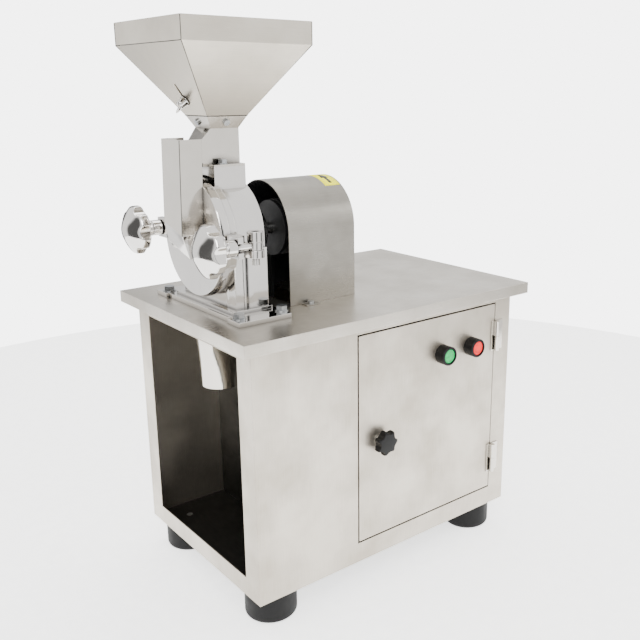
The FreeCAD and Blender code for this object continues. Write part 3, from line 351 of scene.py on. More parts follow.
@dataclass(frozen=True)
class BrushedSteel(Finish):
    """Type 304 stainless sheet with a belt-ground finish.

    Fine parallel scratches spread the highlight across the grain, and handling leaves wide,
    faint cloudy patches.

    Attributes:
        grain: Direction of the scratches.
        dark: Colour in the scratches and the dull patches.
        light: Colour of the ground surface.
        gloss: Lowest and highest roughness.
        line_mm: Spacing of the scratches, drawn coarser than the real 0.1 mm so that it shows.
        edge_mm: Radius of the folded edges.
        inside: Whether the inner side is drawn black.
        cloud_mm: Width of the cloudy patches.
        line_share: How much of the pattern the scratches make; the patches make the rest.
        spread: Values of the pattern that are darkest and lightest.
        coat: Colour drawn on the inner side.
        coat_rough: How much rougher the inner side is.
        skin_mm: How far inside the sheet's outer side the black begins.
    """

    grain: Grain = Grain.ALONG_X
    dark: str = "#B5AFA4"
    light: str = "#CFC9BF"
    gloss: tuple[float, float] = (0.28, 0.42)
    line_mm: float = 0.5
    edge_mm: float = 1.2
    inside: InnerTone = InnerTone.BARE
    cloud_mm: float = 90.0
    line_share: float = 0.3
    spread: tuple[float, float] = (0.36, 0.62)
    coat: str = "#101113"
    coat_rough: float = 0.35
    skin_mm: float = 0.75

    def make(self) -> bpy.types.Material:
        """Build the material.

        Returns:
            The material.
        """
        tree, shader, place = self.begin()
        lines = self.speckle(tree, place, self.line_mm, 2.0, self.grain.value)
        clouds = self.speckle(tree, place, self.cloud_mm, 3.5)
        faint = add(tree, "ShaderNodeMath", {"operation": "MULTIPLY"}, i0=lines,
                    i1=self.line_share)
        both = add(tree, "ShaderNodeMath", {"operation": "MULTIPLY_ADD"}, i0=clouds,
                   i1=1 - self.line_share, i2=faint.outputs[0]).outputs[0]
        share = self.between(tree, both, 0.0, 1.0, *self.spread)
        colour = self.tint(tree, share, self.dark, self.light)
        rough = self.between(tree, both, self.gloss[1], self.gloss[0], *self.spread)
        shader.inputs["Metallic"].default_value = 1.0
        # the inner side of the arch is drawn black, rougher and not metallic
        if self.inside is InnerTone.DARK_INSIDE:
            mask = self.inner_side(tree, place)
            colour = add(tree, "ShaderNodeMix", {"data_type": "RGBA"}, i0=mask, i6=colour,
                         i7=srgb(self.coat)).outputs[2]
            rough = add(tree, "ShaderNodeMath", {"operation": "MULTIPLY_ADD"}, i0=mask,
                        i1=self.coat_rough, i2=rough).outputs[0]
            bare = add(tree, "ShaderNodeMath", {"operation": "SUBTRACT"}, i0=1.0, i1=mask)
            tree.links.new(bare.outputs[0], shader.inputs["Metallic"])
        rounded = add(tree, "ShaderNodeBevel", {"samples": 4}, Radius=self.edge_mm * MM)
        bump = add(tree, "ShaderNodeBump", Strength=0.06, Distance=0.05 * MM, Height=lines,
                   Normal=rounded.outputs[0])
        for key, value in (("Base Color", colour), ("Roughness", rough),
                           ("Normal", bump.outputs[0])):
            tree.links.new(value, shader.inputs[key])
        return bpy.data.materials[self.name]

    def inner_side(self, tree: bpy.types.NodeTree,
                   place: bpy.types.NodeSocket) -> bpy.types.NodeSocket:
        """Tell the inside of the belt guard's arch from its outside.

        Args:
            tree: The material's tree.
            place: Object coordinates.

        Returns:
            One on the inside and nought on the outside.
        """
        low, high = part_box("belt_guard")
        radius = (high.y - low.y) / 2 - GUARD_TAB
        skin = self.skin_mm * MM
        middle_y, axis_z = (high.y + low.y) / 2, high.z - radius
        axes = add(tree, "ShaderNodeSeparateXYZ", Vector=place)
        side = add(tree, "ShaderNodeMath", {"operation": "SUBTRACT"}, i0=axes.outputs[1],
                   i1=middle_y).outputs[0]
        rise = add(tree, "ShaderNodeMath", {"operation": "SUBTRACT"}, i0=axes.outputs[2],
                   i1=axis_z).outputs[0]
        rise = add(tree, "ShaderNodeMath", {"operation": "MAXIMUM"}, i0=rise, i1=0.0).outputs[0]
        flat = add(tree, "ShaderNodeCombineXYZ", X=side, Y=rise).outputs[0]
        reach = add(tree, "ShaderNodeVectorMath", {"operation": "LENGTH"}, i0=flat)
        within = add(tree, "ShaderNodeMath", {"operation": "LESS_THAN"},
                     i0=reach.outputs["Value"], i1=radius - skin).outputs[0]
        before = add(tree, "ShaderNodeMath", {"operation": "LESS_THAN"}, i0=axes.outputs[0],
                     i1=high.x - skin).outputs[0]
        return add(tree, "ShaderNodeMath", {"operation": "MULTIPLY"}, i0=within,
                   i1=before).outputs[0]


@dataclass(frozen=True)
class MirrorSteel(Finish):
    """Stainless steel buffed to a mirror, over a casting or a bent sheet.

    Buffing rounds every edge a little and leaves slow waves that bend the reflections. Joints
    and recesses get painted shade, darkening towards near black.

    Attributes:
        dark: Colour in the low spots.
        light: Colour of the buffed surface.
        gloss: Lowest and highest roughness.
        wave_mm: Length of the waves.
        wave_deep_mm: Height of the waves.
        edge_mm: Radius of the buffed edges.
        crevice_mm: How far painted shade creeps out of a joint or a recess.
        crevice_shade: Colour of the painted shade in the deepest crevices.
        haze_mm: Width of the faint hazy patches.
        open_range: Shares of open sky at which a spot is all painted shade and all unshaded.
    """

    dark: str = "#CECBC7"
    light: str = "#DCD9D5"
    gloss: tuple[float, float] = (0.07, 0.13)
    wave_mm: float = 30.0
    wave_deep_mm: float = 0.6
    edge_mm: float = 1.0
    crevice_mm: float = 9.0
    crevice_shade: str = "#1B1A19"
    haze_mm: float = 35.0
    open_range: tuple[float, float] = (0.25, 0.85)

    def make(self) -> bpy.types.Material:
        """Build the material.

        Returns:
            The material.
        """
        tree, shader, place = self.begin()
        waves = self.speckle(tree, place, self.wave_mm, 1.5)
        haze = self.speckle(tree, place, self.haze_mm, 4.0)
        rounded = add(tree, "ShaderNodeBevel", {"samples": 6}, Radius=self.edge_mm * MM)
        bump = add(tree, "ShaderNodeBump", Strength=0.35, Distance=self.wave_deep_mm * MM,
                   Height=waves, Normal=rounded.outputs[0])
        shader.inputs["Metallic"].default_value = 1.0
        # painted shade: the colour goes towards near black in joints and recesses, by how little
        # open sky a spot sees
        open_share = add(tree, "ShaderNodeAmbientOcclusion", {"samples": 8},
                         Distance=self.crevice_mm * MM).outputs["AO"]
        unshaded = self.between(tree, open_share, 0.0, 1.0, *self.open_range)
        colour = add(tree, "ShaderNodeMix", {"data_type": "RGBA"}, i0=unshaded,
                     i6=srgb(self.crevice_shade), i7=self.tint(tree, haze, self.dark, self.light))
        for key, value in (("Base Color", colour.outputs[2]),
                           ("Roughness", self.between(tree, haze, *self.gloss)),
                           ("Normal", bump.outputs[0])):
            tree.links.new(value, shader.inputs[key])
        return bpy.data.materials[self.name]


@dataclass(frozen=True)
class Grained(Finish):
    """A solid finish with a fine surface grain: plating, moulded rubber or plastic, paint, iron.

    Attributes:
        dark: Colour in the grain.
        light: Colour on top of it.
        metallic: One for metal and nought for the rest.
        gloss: Lowest and highest roughness.
        grain_mm: Width of the grain.
        grain_deep_mm: Depth of the grain.
        coat: Strength of a clear lacquer.
        sheen: Strength of the surface reflection, half for a plain plastic.
        glow: Light that the surface gives off by itself.
        wear_mm: Width of the patches that handling leaves.
        spread: Values of the pattern that are darkest and lightest.
    """

    dark: str = "#101112"
    light: str = "#1D1E20"
    metallic: float = 0.0
    gloss: tuple[float, float] = (0.45, 0.6)
    grain_mm: float = 0.8
    grain_deep_mm: float = 0.05
    coat: float = 0.0
    sheen: float = 0.5
    glow: float = 0.0
    wear_mm: float = 18.0
    spread: tuple[float, float] = (0.15, 0.4)

    def make(self) -> bpy.types.Material:
        """Build the material.

        Returns:
            The material.
        """
        tree, shader, place = self.begin()
        grain = self.speckle(tree, place, self.grain_mm, 3.0)
        wear = self.speckle(tree, place, self.wear_mm, 4.0)
        mixed = add(tree, "ShaderNodeMath", {"operation": "MULTIPLY"}, i0=grain,
                    i1=wear).outputs[0]
        bump = add(tree, "ShaderNodeBump", Strength=0.4, Distance=self.grain_deep_mm * MM,
                   Height=grain)
        shader.inputs["Metallic"].default_value = self.metallic
        shader.inputs["Coat Weight"].default_value = self.coat
        shader.inputs["Specular IOR Level"].default_value = self.sheen
        shader.inputs["Emission Strength"].default_value = self.glow
        share = self.between(tree, mixed, 0.0, 1.0, *self.spread)
        colour = self.tint(tree, share, self.dark, self.light)
        for key, value in (("Base Color", colour), ("Emission Color", colour),
                           ("Roughness", self.between(tree, wear, *self.gloss)),
                           ("Normal", bump.outputs[0])):
            tree.links.new(value, shader.inputs[key])
        return bpy.data.materials[self.name]


@dataclass(frozen=True)
class MouldedLens(Finish):
    """Tinted acrylic cap with fine diffuser prisms in its back, with a faint painted glow.

    Attributes:
        deep: Colour between the prisms.
        bright: Colour on the prisms.
        prism_mm: Width of a prism.
        cloud_mm: Width of the uneven patches in the tint.
        glow: Strength of the painted glow in the tint's colour.
        depth_mm: How deep light goes into it.
    """

    deep: str = "#007A3A"
    bright: str = "#00B45E"
    prism_mm: float = 1.3
    cloud_mm: float = 6.0
    glow: float = 0.35
    depth_mm: float = 2.0

    def make(self) -> bpy.types.Material:
        """Build the material.

        Returns:
            The material.
        """
        tree, shader, place = self.begin()
        prisms = add(tree, "ShaderNodeTexVoronoi", {"feature": "F1"}, Vector=place,
                     Scale=1000 / self.prism_mm).outputs[0]
        cloud = self.speckle(tree, place, self.cloud_mm, 2.0)
        both = add(tree, "ShaderNodeMath", {"operation": "MULTIPLY_ADD"}, i0=prisms, i1=0.5,
                   i2=cloud).outputs[0]
        share = self.between(tree, both, 0.0, 1.0, 0.4, 1.0)
        bump = add(tree, "ShaderNodeBump", Strength=0.15, Distance=0.1 * MM, Height=prisms)
        shader.inputs["Specular IOR Level"].default_value = 0.2
        shader.inputs["Emission Strength"].default_value = self.glow
        shader.inputs["Subsurface Weight"].default_value = 0.15
        shader.inputs["Subsurface Radius"].default_value = (self.depth_mm * MM,) * 3
        colour = self.tint(tree, share, self.deep, self.bright)
        for key, value in (("Base Color", colour), ("Emission Color", colour),
                           ("Roughness", self.between(tree, cloud, 0.3, 0.42)),
                           ("Normal", bump.outputs[0])):
            tree.links.new(value, shader.inputs[key])
        return bpy.data.materials[self.name]


# ---------------------------------------------------------------- Geometry Nodes

class Growth:
    """The Geometry Nodes trees for what repeats on the machine.

    Attributes:
        COMMON: The inputs that every tree has.
    """

    COMMON: dict[str, tuple[str, object]] = {
        "Place": ("NodeSocketVector", (0, 0, 0)), "Turn": ("NodeSocketRotation", None),
        "Material": ("NodeSocketMaterial", None)}

    @staticmethod
    def start(name: str, sizes: dict[str, tuple[str, object]]
              ) -> tuple[bpy.types.NodeTree, dict[str, bpy.types.NodeSocket]]:
        """Open a tree with named inputs.

        Args:
            name: The tree's name.
            sizes: A socket type and a default for each input.

        Returns:
            The tree, and its input sockets by name.
        """
        tree = bpy.data.node_groups.new(name, "GeometryNodeTree")
        tree.interface.new_socket("Geometry", in_out="OUTPUT", socket_type="NodeSocketGeometry")
        for key, (kind, value) in sizes.items():
            socket = tree.interface.new_socket(key, in_out="INPUT", socket_type=kind)
            if value is not None:
                socket.default_value = value
        given = add(tree, "NodeGroupInput")
        return tree, {key: given.outputs[key] for key in sizes}

    @staticmethod
    def end(tree: bpy.types.NodeTree, shape: bpy.types.NodeSocket,
            given: dict[str, bpy.types.NodeSocket]) -> bpy.types.NodeTree:
        """Realize, turn, move and dress the result, and close the tree.

        Args:
            tree: The tree to close.
            shape: Its instances.
            given: Its input sockets by name.

        Returns:
            The finished tree.
        """
        solid = add(tree, "GeometryNodeRealizeInstances", Geometry=shape)
        moved = add(tree, "GeometryNodeTransform", Geometry=solid.outputs[0],
                    Translation=given["Place"], Rotation=given["Turn"])
        coated = add(tree, "GeometryNodeSetMaterial", Geometry=moved.outputs[0],
                     Material=given["Material"])
        add(tree, "NodeGroupOutput", Geometry=coated.outputs[0])
        return tree

    @classmethod
    def fin_ring(cls) -> bpy.types.NodeTree:
        """Straight fins that stand out round a cylinder whose axis is local Z.

        Returns:
            The tree.
        """
        tree, given = cls.start("fin_ring", {
            "Count": ("NodeSocketInt", 36), "Radius": ("NodeSocketFloat", 0.06),
            "Fin": ("NodeSocketVector", (0.006, 0.0018, 0.1)), **cls.COMMON})
        fin = add(tree, "GeometryNodeMeshCube", Size=given["Fin"])
        ring = add(tree, "GeometryNodeMeshCircle", Vertices=given["Count"],
                   Radius=given["Radius"])
        where = add(tree, "GeometryNodeInputPosition")
        aim = add(tree, "FunctionNodeAlignRotationToVector", {"axis": "X"},
                  Vector=where.outputs[0])
        fins = add(tree, "GeometryNodeInstanceOnPoints", Points=ring.outputs[0],
                   Instance=fin.outputs[0], Rotation=aim.outputs[0])
        return cls.end(tree, fins.outputs[0], given)


# ---------------------------------------------------------------- sub-assemblies

@dataclass
class Palette:
    """Every finish that the machine uses, made once."""

    def __post_init__(self) -> None:
        """Make the materials."""
        # belt-ground sheet: pale, with a highlight drawn out across its fine scratches
        self.table = BrushedSteel("brushed_304_table", Grain.ALONG_X, gloss=(0.24, 0.36)).make()
        # the same sheet standing up: warmer and a little duller, its colour painted a little
        # darker for the shade on upright faces
        self.upright = BrushedSteel("brushed_304_panel", Grain.ALONG_Z, "#ADA598", "#C4BDB1",
                                    (0.32, 0.46)).make()
        # the cabinet's inside, left as rolled: dull and greyer, and painted near black for the
        # shade inside the cabinet
        self.shaded_lining = BrushedSteel("rolled_304_shaded_lining", Grain.ALONG_Y, "#2E2D2B", "#434240",
                                   (0.40, 0.55)).make()
        # thin sheet left with its factory finish: soft, even and warm
        self.hopper = BrushedSteel("brushed_304_hopper", Grain.ALONG_X, "#BFB8AB", "#D2CBBE",
                                   (0.30, 0.42)).make()
        # ground sheet: mid grey outside, drawn black on its inner side under the arch
        self.guard = BrushedSteel("brushed_304_guard", Grain.ALONG_X, "#858179", "#A09C94",
                                  (0.26, 0.38), inside=InnerTone.DARK_INSIDE).make()
        # buffed casting: bright, with wavy reflections and painted shade in dark lines where
        # parts meet
        self.casting = MirrorSteel("buffed_cast_304").make()
        # turned and buffed: the same brightness with longer, calmer reflections
        self.cover = MirrorSteel("buffed_304_cover", gloss=(0.05, 0.10), wave_mm=60.0,
                                 wave_deep_mm=0.4).make()
        # polished sheet: flat, hazy reflections with crisp folded edges, and painted shade
        # reaching 16 mm into its recesses
        self.sheet = MirrorSteel("mirror_304_sheet", "#C6C1B8", "#D6D1C9", (0.10, 0.18), 80.0,
                                 0.4, 0.5, 16.0).make()
        # bright zinc plate on turned steel: pale, faintly blue, softly shining
        self.zinc = Grained("zinc_plated_steel", "#8F9192", "#BFC1C2", 1.0, (0.25, 0.4), 1.5,
                            0.03).make()
        # ground bearing steel and turned shafts: neutral grey with a tight highlight
        self.ground = Grained("ground_steel", "#8A8A88", "#B5B5B2", 1.0, (0.15, 0.28), 0.8,
                              0.02).make()
        # moulded nitrile rubber: dull black with a greyed skin
        self.rubber = Grained("moulded_rubber", "#040404", "#101011", 0.0, (0.5, 0.68), 1.2,
                              0.12, sheen=0.22).make()
        # phenolic mouldings: black, with a low even shine
        self.phenolic = Grained("black_phenolic", "#050505", "#0E0E0F", 0.0, (0.42, 0.55), 0.9,
                                0.04, sheen=0.2).make()
        # pulleys in blackened cast iron: near black, with a faint metal shine
        self.iron = Grained("blackened_iron", "#0E0E0F", "#191A1A", 0.3, (0.45, 0.6), 1.1,
                            0.05).make()
        # blue hammer enamel on the motor's shell, under its own clear top
        self.enamel = Grained("blue_hammer_enamel", "#1D3A55", "#2F5676", 0.0, (0.25, 0.4), 2.6,
                              0.15, 0.4).make()
        # fabric-faced neoprene belts: matt, with a woven grain
        self.belt = Grained("neoprene_belt", "#101010", "#232323", 0.0, (0.6, 0.75), 0.7,
                            0.12).make()
        # yellow vinyl with a painted glow, so that it looks brighter than the metal round it
        self.vinyl = Grained("yellow_vinyl", "#E6E000", "#F4F000", 0.0, (0.35, 0.45), 2.0, 0.01,
                             sheen=0.2, glow=0.35).make()
        # heat-darkened welds, and painted shade along folded edges: thin dull lines that mark
        # the seams
        self.seam = Grained("weld_and_fold_shade", "#3A3836", "#5A5753", 0.7, (0.4, 0.6), 1.0,
                            0.05).make()
        # printing ink: flat black
        self.ink = Grained("black_ink", "#0E0E0E", "#181818", 0.0, (0.4, 0.5), 1.5, 0.01).make()
        # acrylic button caps: deep colour with a soft painted glow
        self.green = MouldedLens("green_acrylic_lens").make()
        self.red = MouldedLens("red_acrylic_lens", "#C01414", "#EE3028").make()


@dataclass
class Stand:
    """Table, cabinet, feet and hinges.

    Attributes:
        palette: The finishes.
    """

    palette: Palette

    def build(self) -> None:
        """Dress the stand."""
        pal = self.palette
        dress(pal.table, "table_top")
        dress(pal.upright, "cabinet_back_panel", "cabinet_end_panel", "cabinet_front_panel",
              "cabinet_opening_frame", "cabinet_door")
        dress(pal.shaded_lining, "partition_panel", "cabinet_floor")
        dress(pal.rubber, "foot_front_left", "foot_front_right", "foot_back_left",
              "foot_back_right")
        dress(pal.zinc, "foot_bolts")
        dress(pal.sheet, "hinge_frame_leaves", "hinge_door_leaves")
        dress(pal.phenolic, "cable_gland")


@dataclass
class LobedKnob:
    """A turned knob with scallops round its rim and soft edges everywhere.

    Attributes:
        name: The piece's name.
        outline: Radius and height along local Z, in millimetres, from the back to the front.
        lobes: How many lobes it has.
        orbit_mm: Distance from the knob's axis to a scallop's.
        scallop_mm: A scallop's radius.
        soft_mm: How softly a scallop runs into the rim.
        sides: Sides round the knob.
        steps: Steps round each corner of the outline.
        corner: How much of each side of a corner is rounded off.
    """

    name: str
    outline: list[tuple[float, float]]
    lobes: int
    orbit_mm: float
    scallop_mm: float
    soft_mm: float
    sides: int = 168
    steps: int = 5
    corner: float = 0.4

    def rim(self, turn: float) -> float:
        """How far out the scallops let the knob reach in one direction.

        Args:
            turn: The direction, in radians from a scallop's.

        Returns:
            The reach in millimetres, without limit between the scallops.
        """
        pitch = 2 * math.pi / self.lobes
        off = (turn + pitch / 2) % pitch - pitch / 2
        inside = self.scallop_mm ** 2 - (self.orbit_mm * math.sin(off)) ** 2
        if inside <= 0:
            return math.inf
        return self.orbit_mm * math.cos(off) - math.sqrt(inside)

    def profile(self) -> list[tuple[float, float]]:
        """Round the outline's corners.

        Returns:
            Radius and height of each point, in millimetres.
        """
        points = [np.array(p, float) for p in self.outline]
        fine = [points[0]]
        for before, here, after in zip(points, points[1:], points[2:]):
            start = here + (before - here) * self.corner
            end = here + (after - here) * self.corner
            for i in range(self.steps + 1):
                t = i / self.steps
                fine.append((1 - t) ** 2 * start + 2 * t * (1 - t) * here + t * t * end)
        fine.append(points[-1])
        return [(float(p[0]), float(p[1])) for p in fine]

    def shape(self, turn: Matrix, coat: bpy.types.Material) -> bpy.types.Object:
        """Build the knob.

        Args:
            turn: Takes the knob from its own frame, in metres, to the row's.
            coat: Its material.

        Returns:
            The knob.
        """
        outline, soft, half_pitch = self.profile(), self.soft_mm, math.pi / self.lobes

        def draw(work: bmesh.types.BMesh) -> None:
            """Turn the outline round and press the scallops into it.

            Args:
                work: The bmesh that gets the knob.
            """
            rings = []
            for radius, height in outline:
                ring = []
                for i in range(self.sides):
                    angle = 2 * math.pi * i / self.sides
                    limit = self.rim(angle + half_pitch)
                    gap = max(soft - abs(radius - limit), 0.0) / soft
                    reach = max(min(radius, limit) - gap * gap * soft / 4, 0.0)
                    point = Vector((reach * math.cos(angle), reach * math.sin(angle), height))
                    ring.append(work.verts.new(turn @ (point * MM)))
                rings.append(ring)
            for lower, upper in zip(rings, rings[1:]):
                for i in range(self.sides):
                    j = (i + 1) % self.sides
                    work.faces.new((lower[i], lower[j], upper[j], upper[i]))

        return shell(self.name, draw, coat)


@dataclass
class ControlPanel:
    """Latch and push buttons on the cabinet door.

    Attributes:
        palette: The finishes.
        lobes: Lobes round the latch knob.
    """

    palette: Palette
    lobes: int = 7

    def build(self) -> None:
        """Dress the door's fittings and carve the latch knob."""
        pal = self.palette
        dress(pal.phenolic, "green_button_bezel", "red_button_bezel")
        dress(pal.green, "green_button")
        dress(pal.red, "red_button")
        dress(pal.ground, "latch_spindle")
        dress(pal.zinc, "latch_cam")
        low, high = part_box("latch_knob")
        middle = (low + high) / 2
        outline = [(0, 0), (11, 0), (17, 1.6), (19.1, 3.6), (19.2, 6), (19.1, 9.6), (18, 12),
                   (15, 13.2), (8, 13.7), (4, 13.8), (0, 13.8)]
        turn = Matrix.Translation((middle.x, high.y, middle.z)) @ Matrix.Rotation(
            math.radians(90), 4, "X")
        knob = LobedKnob("latch_knob_moulding", outline, self.lobes, 22.0, 8.2, 0.8).shape(
            turn, pal.phenolic)
        settle(knob, "latch", "black_plastic", "latch_knob")


@dataclass
class Mill:
    """Grinding chamber, cover, feed box, clamps and rotor.

    Attributes:
        palette: The finishes.
        lobes: Lobes round each clamp knob.
        box_lean: How far the feed box leans to the door side, per unit of height.
        fold_short: How far its corner's line stops below its top.
    """

    palette: Palette
    lobes: int = 6
    box_lean: float = 0.058
    fold_short: float = 0.6 * MM

    def build(self) -> None:
        """Dress the mill, carve its two clamp knobs and paint shade along the feed box's fold.
        """
        pal = self.palette
        dress(pal.casting, "mill_body", "near_pivot_screw", "far_pivot_screw", "near_swing_bolt",
              "far_swing_bolt", "near_clamp_collar", "far_clamp_collar")
        dress(pal.cover, "chamber_cover", "stator_ring", "rotor_disc", "rotor_hammers")
        dress(pal.sheet, "feed_box", "discharge_spout")
        dress(pal.zinc, "base_bolts", "spindle_nut")
        dress(pal.ground, "front_bearing", "rear_bearing", "bearing_cap", "spindle")
        dress(pal.hopper, "screen_ring")
        for side in ("near", "far"):
            self.clamp_knob(side)
        self.box_fold()

    def box_fold(self) -> None:
        """Draw the painted shade line down the feed box's folded corner."""
        low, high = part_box("feed_box")
        fold = [Vector((low.x, low.y + self.box_lean * (high.z - low.z), low.z)),
                Vector((low.x, low.y, high.z - self.fold_short))]
        settle(bead("feed_box_fold_shade", fold, self.palette.seam), "cover", "brushed_stainless")

    def clamp_knob(self, side: str) -> None:
        """Build one buffed star knob with a domed front.

        Args:
            side: The clamp's side, near or far.
        """
        low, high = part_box(f"{side}_star_knob")
        middle = (low + high) / 2
        outline = [(0, 26), (4.6, 26), (5.1, 25), (5.1, 1), (6, 0), (10.6, 0), (11.5, 1),
                   (12, 10), (14, 12.5), (21, 13), (31, 14), (34.2, 16.5), (34.3, 20),
                   (34.2, 24.5), (33, 28), (28, 31.5), (21, 35.6), (12, 40.4), (5, 42.6),
                   (0, 43)]
        turn = Matrix.Translation((high.x, middle.y, middle.z)) @ Matrix.Rotation(
            math.radians(-90), 4, "Y")
        knob = LobedKnob(f"{side}_clamp_knob", outline, self.lobes, 41.0, 12.5, 3.0).shape(
            turn, self.palette.casting)
        settle(knob, f"{side}_knob", "polished_stainless", f"{side}_star_knob")


@dataclass
class WingNut:
    """A forged nut with a tapered hub and two rounded wings. Its sizes are in millimetres.

    Attributes:
        hub: Radius and height round the hub's section, from the bore's bottom.
        reach: How far each wing stands out from the axis.
        root: Where a wing begins, inside the hub.
        thick: Half a wing's thickness.
        thin: How much thinner it is at its tip, as a share.
        tall: Half a wing's height.
        flare: How much taller it is at its tip.
        middle: Height of a wing's middle.
        rise: How far it climbs on the way to its tip.
        curl: How far its two ends turn up.
        sides: Sides round the hub.
        facets: Segments and rings of a wing.
    """

    hub: tuple[tuple[float, float], ...] = ((2.4, 0.5), (7.5, 0.5), (7.5, 2.0), (6.0, 2.6),
                                            (5.2, 11.4), (4.4, 12), (2.4, 12))
    reach: float = 21.0
    root: float = 3.2
    thick: float = 2.2
    thin: float = 0.3
    tall: float = 4.8
    flare: float = 1.4
    middle: float = 8.4
    rise: float = 2.6
    curl: float = 0.8
    sides: int = 40
    facets: tuple[int, int] = (28, 18)

    def shape(self, place: Matrix, coat: bpy.types.Material) -> bpy.types.Object:
        """Build the nut.

        Args:
            place: Takes the nut from its own frame, in metres, to the row's.
            coat: Its material.

        Returns:
            The nut.
        """
        span = (self.reach - self.root) / 2

        def draw(work: bmesh.types.BMesh) -> None:
            """Turn the hub and press a ball into each wing's shape.

            Args:
                work: The bmesh that gets the nut.
            """
            rings = []
            for radius, height in self.hub + self.hub[:1]:
                rings.append([work.verts.new(place @ (Vector((
                    radius * math.cos(2 * math.pi * i / self.sides),
                    radius * math.sin(2 * math.pi * i / self.sides), height)) * MM))
                    for i in range(self.sides)])
            for a, b in zip(rings, rings[1:]):
                for i in range(self.sides):
                    j = (i + 1) % self.sides
                    work.faces.new((a[i], a[j], b[j], b[i]))
            for hand in (-1, 1):
                made = bmesh.ops.create_uvsphere(work, u_segments=self.facets[0],
                                                 v_segments=self.facets[1], radius=1.0)
                for vert in made["verts"]:
                    x, y, z = vert.co
                    lift = self.middle + self.rise * x + self.curl * x * x
                    spot = Vector((hand * (self.root + span + span * x),
                                   self.thick * y * (1.1 - self.thin * x),
                                   lift + (self.tall + self.flare * x) * z))
                    vert.co = place @ (spot * MM)

        return shell("forged_wing_nut", draw, coat)


@dataclass
class FeedHopper:
    """Hopper, collar, neck and the gate with its wing nut.

    Attributes:
        palette: The finishes.
        rim_tall: Height of the hopper's upright rim.
        rim_short: How far a weld stops below the rim's edge.
        weld_start: How far above the collar a weld starts.
        line_proud: How far the sealant stands out of the collar.
        line_tall: Height of the sealant line.
        line_deep: How far the sealant goes into the wall.
        nut_turn: The wing nut's turn on its stud, in degrees.
    """

    palette: Palette
    rim_tall: float = 29 * MM
    rim_short: float = 0.8 * MM
    weld_start: float = 1 * MM
    line_proud: float = 0.35 * MM
    line_tall: float = 1.3 * MM
    line_deep: float = 2.0 * MM
    nut_turn: float = 31.0

    def build(self) -> None:
        """Dress the hopper, and build its joint line, seams and wing nut."""
        pal = self.palette
        dress(pal.hopper, "hopper", "feed_gate")
        dress(pal.sheet, "hopper_collar", "feed_neck")
        dress(pal.zinc, "collar_screws", "neck_bolts")
        self.joint_line()
        self.weld_seams()
        self.wing_nut()

    def weld_seams(self) -> None:
        """Draw the dark weld lines down the hopper's corners, and a painted shade line along the
        fold under its rim.
        """
        low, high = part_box("hopper")
        throat_low, throat_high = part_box("hopper_collar")
        rim_z, throat_z = high.z - self.rim_tall, throat_high.z + self.weld_start
        for name, x, y in (("near_left", 0, 0), ("near_right", 1, 0), ("far_left", 0, 1),
                           ("far_right", 1, 1)):
            edge = Vector(((low, high)[x].x, (low, high)[y].y, 0))
            foot = Vector(((throat_low, throat_high)[x].x, (throat_low, throat_high)[y].y, 0))
            path = [foot + Vector((0, 0, throat_z)), edge + Vector((0, 0, rim_z)),
                    edge + Vector((0, 0, high.z - self.rim_short))]
            settle(bead(f"hopper_weld_{name}", path, self.palette.seam), "root",
                   "brushed_stainless")
        # painted shade along the fold under the rim, on both sides
        for name, x in (("left", low.x), ("right", high.x)):
            path = [Vector((x, low.y, rim_z)), Vector((x, high.y, rim_z))]
            settle(bead(f"hopper_rim_fold_shade_{name}", path, self.palette.seam), "root",
                   "brushed_stainless")

    def joint_line(self) -> None:
        """Add the dark sealant line where the collar meets the hopper."""
        low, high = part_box("hopper_collar")
        proud, deep = self.line_proud, -self.line_deep
        bottom, top = high.z - self.line_tall / 2, high.z + self.line_tall / 2

        def draw(work: bmesh.types.BMesh) -> None:
            """Draw a square ring with a rectangular section.

            Args:
                work: The bmesh that gets the line.
            """
            loops = []
            for out, z in ((proud, bottom), (proud, top), (deep, top), (deep, bottom)):
                loops.append([work.verts.new(p) for p in (
                    (low.x - out, low.y - out, z), (high.x + out, low.y - out, z),
                    (high.x + out, high.y + out, z), (low.x - out, high.y + out, z))])
            for a, b in zip(loops, loops[1:] + loops[:1]):
                for i in range(4):
                    j = (i + 1) % 4
                    work.faces.new((a[i], a[j], b[j], b[i]))

        line = shell("hopper_sealant_line", draw, self.palette.rubber, smooth=False)
        settle(line, "root", "black_rubber")

    def wing_nut(self) -> None:
        """Build the wing nut on the gate's stud."""
        gate = next(j for j in frame["joints"] if j["name"] == "gate_nut_turn")
        out = Vector(gate["axis"]).normalized()
        across = Vector((0, 1, 0))
        along = out.cross(across)
        axes = Matrix(((across.x, along.x, out.x), (across.y, along.y, out.y),
                       (across.z, along.z, out.z))).to_4x4()
        place = Matrix.Translation(Vector(gate["pos_m"])) @ axes @ Matrix.Rotation(
            math.radians(self.nut_turn), 4, "Z")
        nut = WingNut().shape(place, self.palette.casting)
        settle(nut, "gate_nut", "polished_stainless", "wing_nut")


